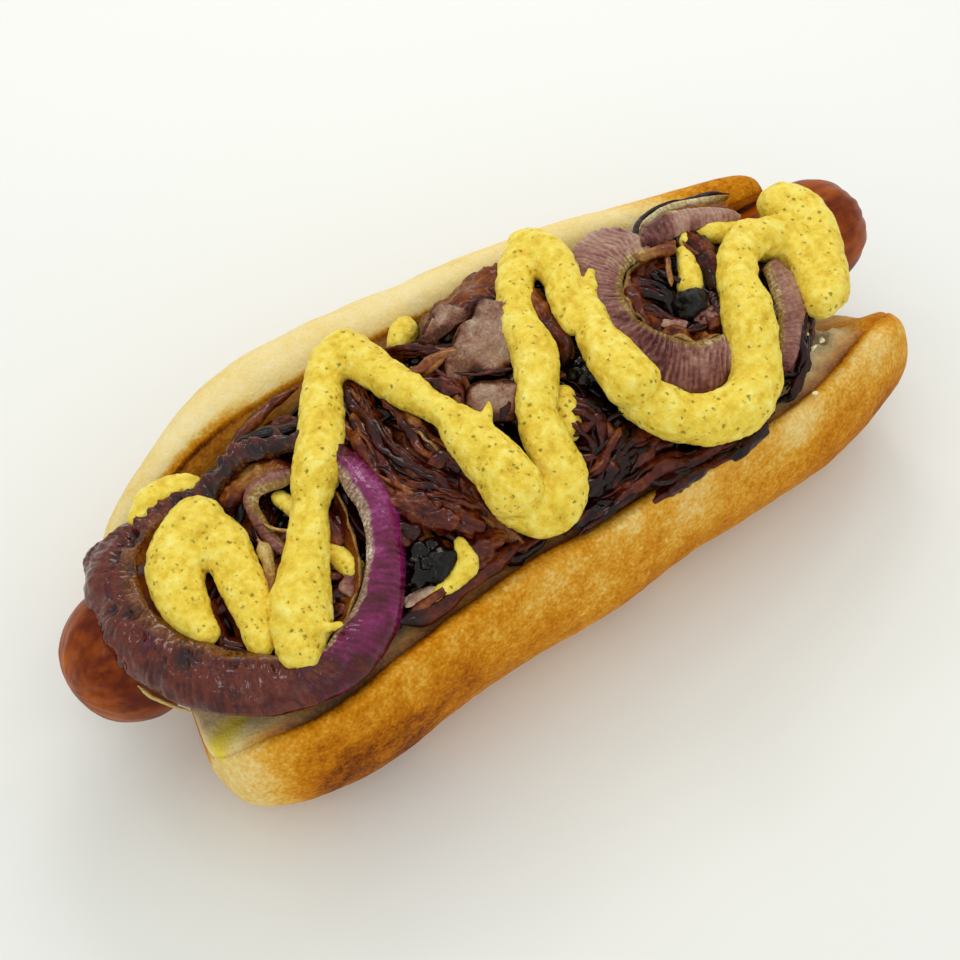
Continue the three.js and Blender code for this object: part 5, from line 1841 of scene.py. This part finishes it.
@dataclass
class ScrapPile:
    """Scraps of one kind, joined."""

    name: str
    nodes: Sequence[str]
    slot: str
    finish: Finish
    scraps: Sequence[Scrap]
    rows: int = 44
    corners: int = 60
    crease: float = 0.5

    def build(self) -> bpy.types.Object:
        """Builds the scraps as crumpled, flattened balls."""
        whole = ball(self.rows, self.corners, tip=0.05)
        points, faces, marks = [], [], {"shade": [], "cut": [], "run": [], "side": []}
        for number, scrap in enumerate(self.scraps):
            start = number * self.rows * self.corners
            shape = whole * np.array(scrap.size) / 2
            ridge = crumple(shape + number * SCRAP_STEP, self.crease * 6, 3) - 0.5
            ridge = ridge + 0.5 * blobs(shape, self.crease * 3, number)
            shape = shape * (1 + scrap.crumpled * ridge + 0.2 * blobs(whole * 2, 1.4, number))[..., None]
            turn = math.radians(scrap.heading)
            x = shape[..., 0] * math.cos(turn) - shape[..., 1] * math.sin(turn)
            y = shape[..., 0] * math.sin(turn) + shape[..., 1] * math.cos(turn)
            placed = np.stack([x, y, shape[..., 2]], axis=-1) + on_heap([(scrap.x, scrap.y, scrap.lift)])[0]
            points.append(placed.reshape(-1, 3))
            faces += closed_faces(self.rows, self.corners, start=start)
            # painted shade and highlight: darker in the scrap's creases and paler on its ridges
            marks["shade"].append((scrap.shade + 0.25 * ridge).reshape(-1))
            marks["cut"].append(ridge.reshape(-1) * 0)
            marks["run"].append(shape[..., 0].reshape(-1))
            marks["side"].append(shape[..., 1].reshape(-1))
        joined = {name: np.concatenate(values) for name, values in marks.items()}
        made = make_object(self.name, np.vstack(points), faces, joined)
        return register(dress(made, self.finish), self.nodes)


PILES = (
    ScrapPile("fried_onion_scraps", ["onion_heap"], "fried_onion", Finish.FRIED, [
        Scrap(-31, -16, 1.2, (12, 7, 4), -60, 0.5), Scrap(-27.5, -21.5, 1.4, (12, 7, 4.4), -50, 0.46),
        Scrap(-36, -18.5, 1, (8, 6, 4), -40, 0.36), Scrap(-35, -25.5, 0.8, (10, 8, 4.4), 10, 0.04, 0.42),
        Scrap(-25, -28.5, 1.4, (9, 5, 3), -10, 0.56, 0.15), Scrap(-21, -13, 1, (10, 6, 3.6), -70, 0.4),
        Scrap(-13, 0, 0.8, (9, 5, 3.4), -60, 0.34), Scrap(3, -29.5, 1, (13, 5, 3.6), 12, 0.24),
        Scrap(-4, -33, 0.8, (10, 4, 3), 4, 0.2), Scrap(9.5, -13, 0.6, (8, 6, 3), -70, 0.02),
        Scrap(41, -14.5, 0.8, (7, 5, 3), 40, 0.3), Scrap(37, -16.5, 1, (6, 4, 2.6), 10, 0.5),
        Scrap(54, -20, 0.6, (10, 5, 3), 60, 0.3), Scrap(-53, -23, 0.6, (8, 5, 3), 30, 0.36),
        Scrap(-40.5, 10, 1, (9, 5, 3.4), 20, 0.24), Scrap(-46, 12, 1.4, (8, 4, 3), 20, 0.36),
        Scrap(14, -37, 0.6, (12, 3.4, 2.6), -4, 0.3), Scrap(28, -37.5, 0.6, (12, 3.4, 2.6), 6, 0.26),
    ]),
    ScrapPile("onion_flesh_scraps", [], "onion_flesh", Finish.MAUVE, [
        Scrap(30.4, -13.4, 0.4, (5, 2.4, 1.6), -40, 0.7, 0.5),
        Scrap(38, -16.8, 1.4, (4.4, 2.4, 1.6), 0, 0.5, 0.6),
        Scrap(-40, -29, 0.7, (6, 2.6, 1.2), -10, 0.86, 0.4),
        Scrap(-46.8, -20.8, 0.8, (8, 4.5, 2), 60, 0.5, 0.3),
        Scrap(36.5, -15.8, 1.2, (5, 3, 2), -20, 0.5, 0.5),
    ]),
    ScrapPile("bread_flakes", [], "bread_crust", Finish.BREAD, [
        Scrap(47.6, -26.6, 0.8, (3, 1.4, 1.4), 30, 0, 0.9),
        Scrap(49.6, -28.8, 0.4, (3.4, 1.6, 1.4), 70, 0, 0.9),
        Scrap(52, -29.6, 0.2, (2.2, 1.2, 1.2), 10, 0, 0.9), Scrap(55, -29, 0.2, (1.6, 1.2, 1), -30, 0, 0.9),
        Scrap(46.5, -36.6, 0.5, (1.6, 0.9, 0.7), 0, 0, 0.9),
        Scrap(52.6, -27, 0.6, (1.8, 1, 0.9), 90, 0, 0.9),
    ], rows=18, corners=24),
)


@dataclass
class CharredScrap:
    """A charred scrap in the hollow of the ribbed slice."""

    x: float = 35.8
    y: float = -12
    radius: float = 3.2
    lift: float = 1.2
    rows: int = 28
    corners: int = 40

    def build(self) -> bpy.types.Object:
        """Builds the scrap as a crumpled lump."""
        whole = ball(self.rows, self.corners, tip=0.06)
        size = self.radius * (1 + 0.22 * blobs(whole * 3, 1.6, 2) + 0.1 * blobs(whole * 3, 0.7, 3))
        points = whole * size[..., None] * np.array([1, 0.9, 0.85])
        points = points + on_heap([(self.x, self.y, self.lift)])[0]
        faces = closed_faces(self.rows, self.corners)
        made = make_object("charred_scrap", points.reshape(-1, 3), faces, {})
        return register(dress(made, Finish.CHAR), ["charred_bit"])


# ---- Table, light and camera ---------------------------------------------------------------------------


@dataclass(frozen=True)
class Lamp:
    """A square soft light that looks at the hot dog."""

    name: str
    place: tuple[float, float, float]
    size: float
    watts: float
    colour: str = "#FFFFFF"


@dataclass
class Studio:
    """A pale table, soft light from behind, and a camera that looks down from the near left."""

    target: tuple[float, float, float] = (-0.0098125, -0.0073486, 0.025)
    azimuth: float = -37.23
    elevation: float = 55.0
    distance: float = 0.35
    view_angle: float = 29.045
    nearest: float = 0.01
    lit_point: tuple[float, float, float] = (0, 0, 0.02)
    table_reach: float = 6000.0
    table_drop: float = 0.05
    sky_low: float = 0.68
    sky_high: float = 0.9
    sky_colour: str = "#FBFEFA"
    lamps: Sequence[Lamp] = (
        Lamp("key_from_behind", (0.2, 0.27, 0.4), 0.16, 0.36, "#FFFDFA"),
        Lamp("glint_left", (-0.14, 0.36, 0.42), 0.06, 0.1),
        Lamp("glint_behind", (0.12, 0.36, 0.36), 0.06, 0.1),
        Lamp("glint_right", (0.34, 0.12, 0.4), 0.06, 0.1),
        Lamp("fill_in_front", (-0.1, -0.42, 0.36), 0.34, 0.16, "#F6FFF6"),
        Lamp("glint_in_front", (-0.16, -0.2, 0.5), 0.05, 0.05),
        Lamp("glint_front_left", (-0.42, 0.02, 0.34), 0.05, 0.05),
    )

    def aim(self, made: bpy.types.Object, target: Sequence[float]) -> None:
        """Turns a lamp or camera towards a point."""
        away = Vector(target) - made.location
        made.rotation_euler = away.to_track_quat("-Z", "Y").to_euler()

    def add_table(self) -> None:
        """Builds the table top, a hair's breadth under the roll."""
        side, drop = self.table_reach, self.table_drop
        corners = np.array(
            [(-side, -side, -drop), (side, -side, -drop), (side, side, -drop), (-side, side, -drop)],
        )
        table = make_object("table_top", corners, [(0, 1, 2, 3)], {})
        dress(table, Finish.TABLE)

    def add_lamp(self, lamp: Lamp) -> None:
        """Builds one square lamp."""
        data = bpy.data.lights.new(lamp.name, "AREA")
        data.size = lamp.size
        data.energy = lamp.watts
        data.color = linear(lamp.colour)[:3]
        made = put_in_scene(lamp.name, data)
        made.location = lamp.place
        self.aim(made, self.lit_point)

    def add_sky(self) -> None:
        """Builds a pale room that is a little brighter above than at its walls."""
        world = bpy.data.worlds.new("soft_room")
        world.use_nodes = True
        tree = world.node_tree
        tree.nodes.clear()
        direction = add_node(tree, "ShaderNodeTexCoord")
        rise = add_node(tree, "ShaderNodeSeparateXYZ", {"Vector": direction}, 2)
        strength = add_node(tree, "ShaderNodeMapRange", {
            "Value": rise, "To Min": self.sky_low, "To Max": self.sky_high,
        })
        light = add_node(tree, "ShaderNodeBackground", {"Color": self.sky_colour, "Strength": strength})
        add_node(tree, "ShaderNodeOutputWorld", {"Surface": light})
        bpy.context.scene.world = world

    def add_camera(self) -> None:
        """Builds the camera and looks through it."""
        data = bpy.data.cameras.new("camera")
        data.angle = math.radians(self.view_angle)
        data.clip_start = self.nearest
        made = put_in_scene("camera", data)
        turn, rise = math.radians(self.azimuth), math.radians(self.elevation)
        back = Vector((math.sin(turn) * math.cos(rise), -math.cos(turn) * math.cos(rise), math.sin(rise)))
        made.location = Vector(self.target) + back * self.distance
        self.aim(made, self.target)
        bpy.context.scene.camera = made

    def build(self) -> None:
        """Builds the table, the lamps, the sky and the camera."""
        view = bpy.context.scene.view_settings
        view.view_transform = "Standard"
        view.look = "None"
        self.add_table()
        for lamp in self.lamps:
            self.add_lamp(lamp)
        self.add_sky()
        self.add_camera()


def main() -> None:
    """Builds the hot dog and its studio in order."""
    logging.basicConfig(level=logging.INFO, format="%(name)s: %(message)s")
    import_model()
    Studio().build()
    strips, lumps = strip_tree(), lump_tree()
    Roll().build()
    Sausage().build()
    for layer in LAYERS:
        layer.build()
    OnionHeap().build(strips)
    for strands in STRAND_SETS:
        strands.build(strips)
    for pile in PILES:
        pile.build()
    CharredScrap().build()
    for mustard in (ZIGZAG, LEFT_V, SMEAR, DABS):
        mustard.build(lumps)


if __name__ == "__main__":
    main()
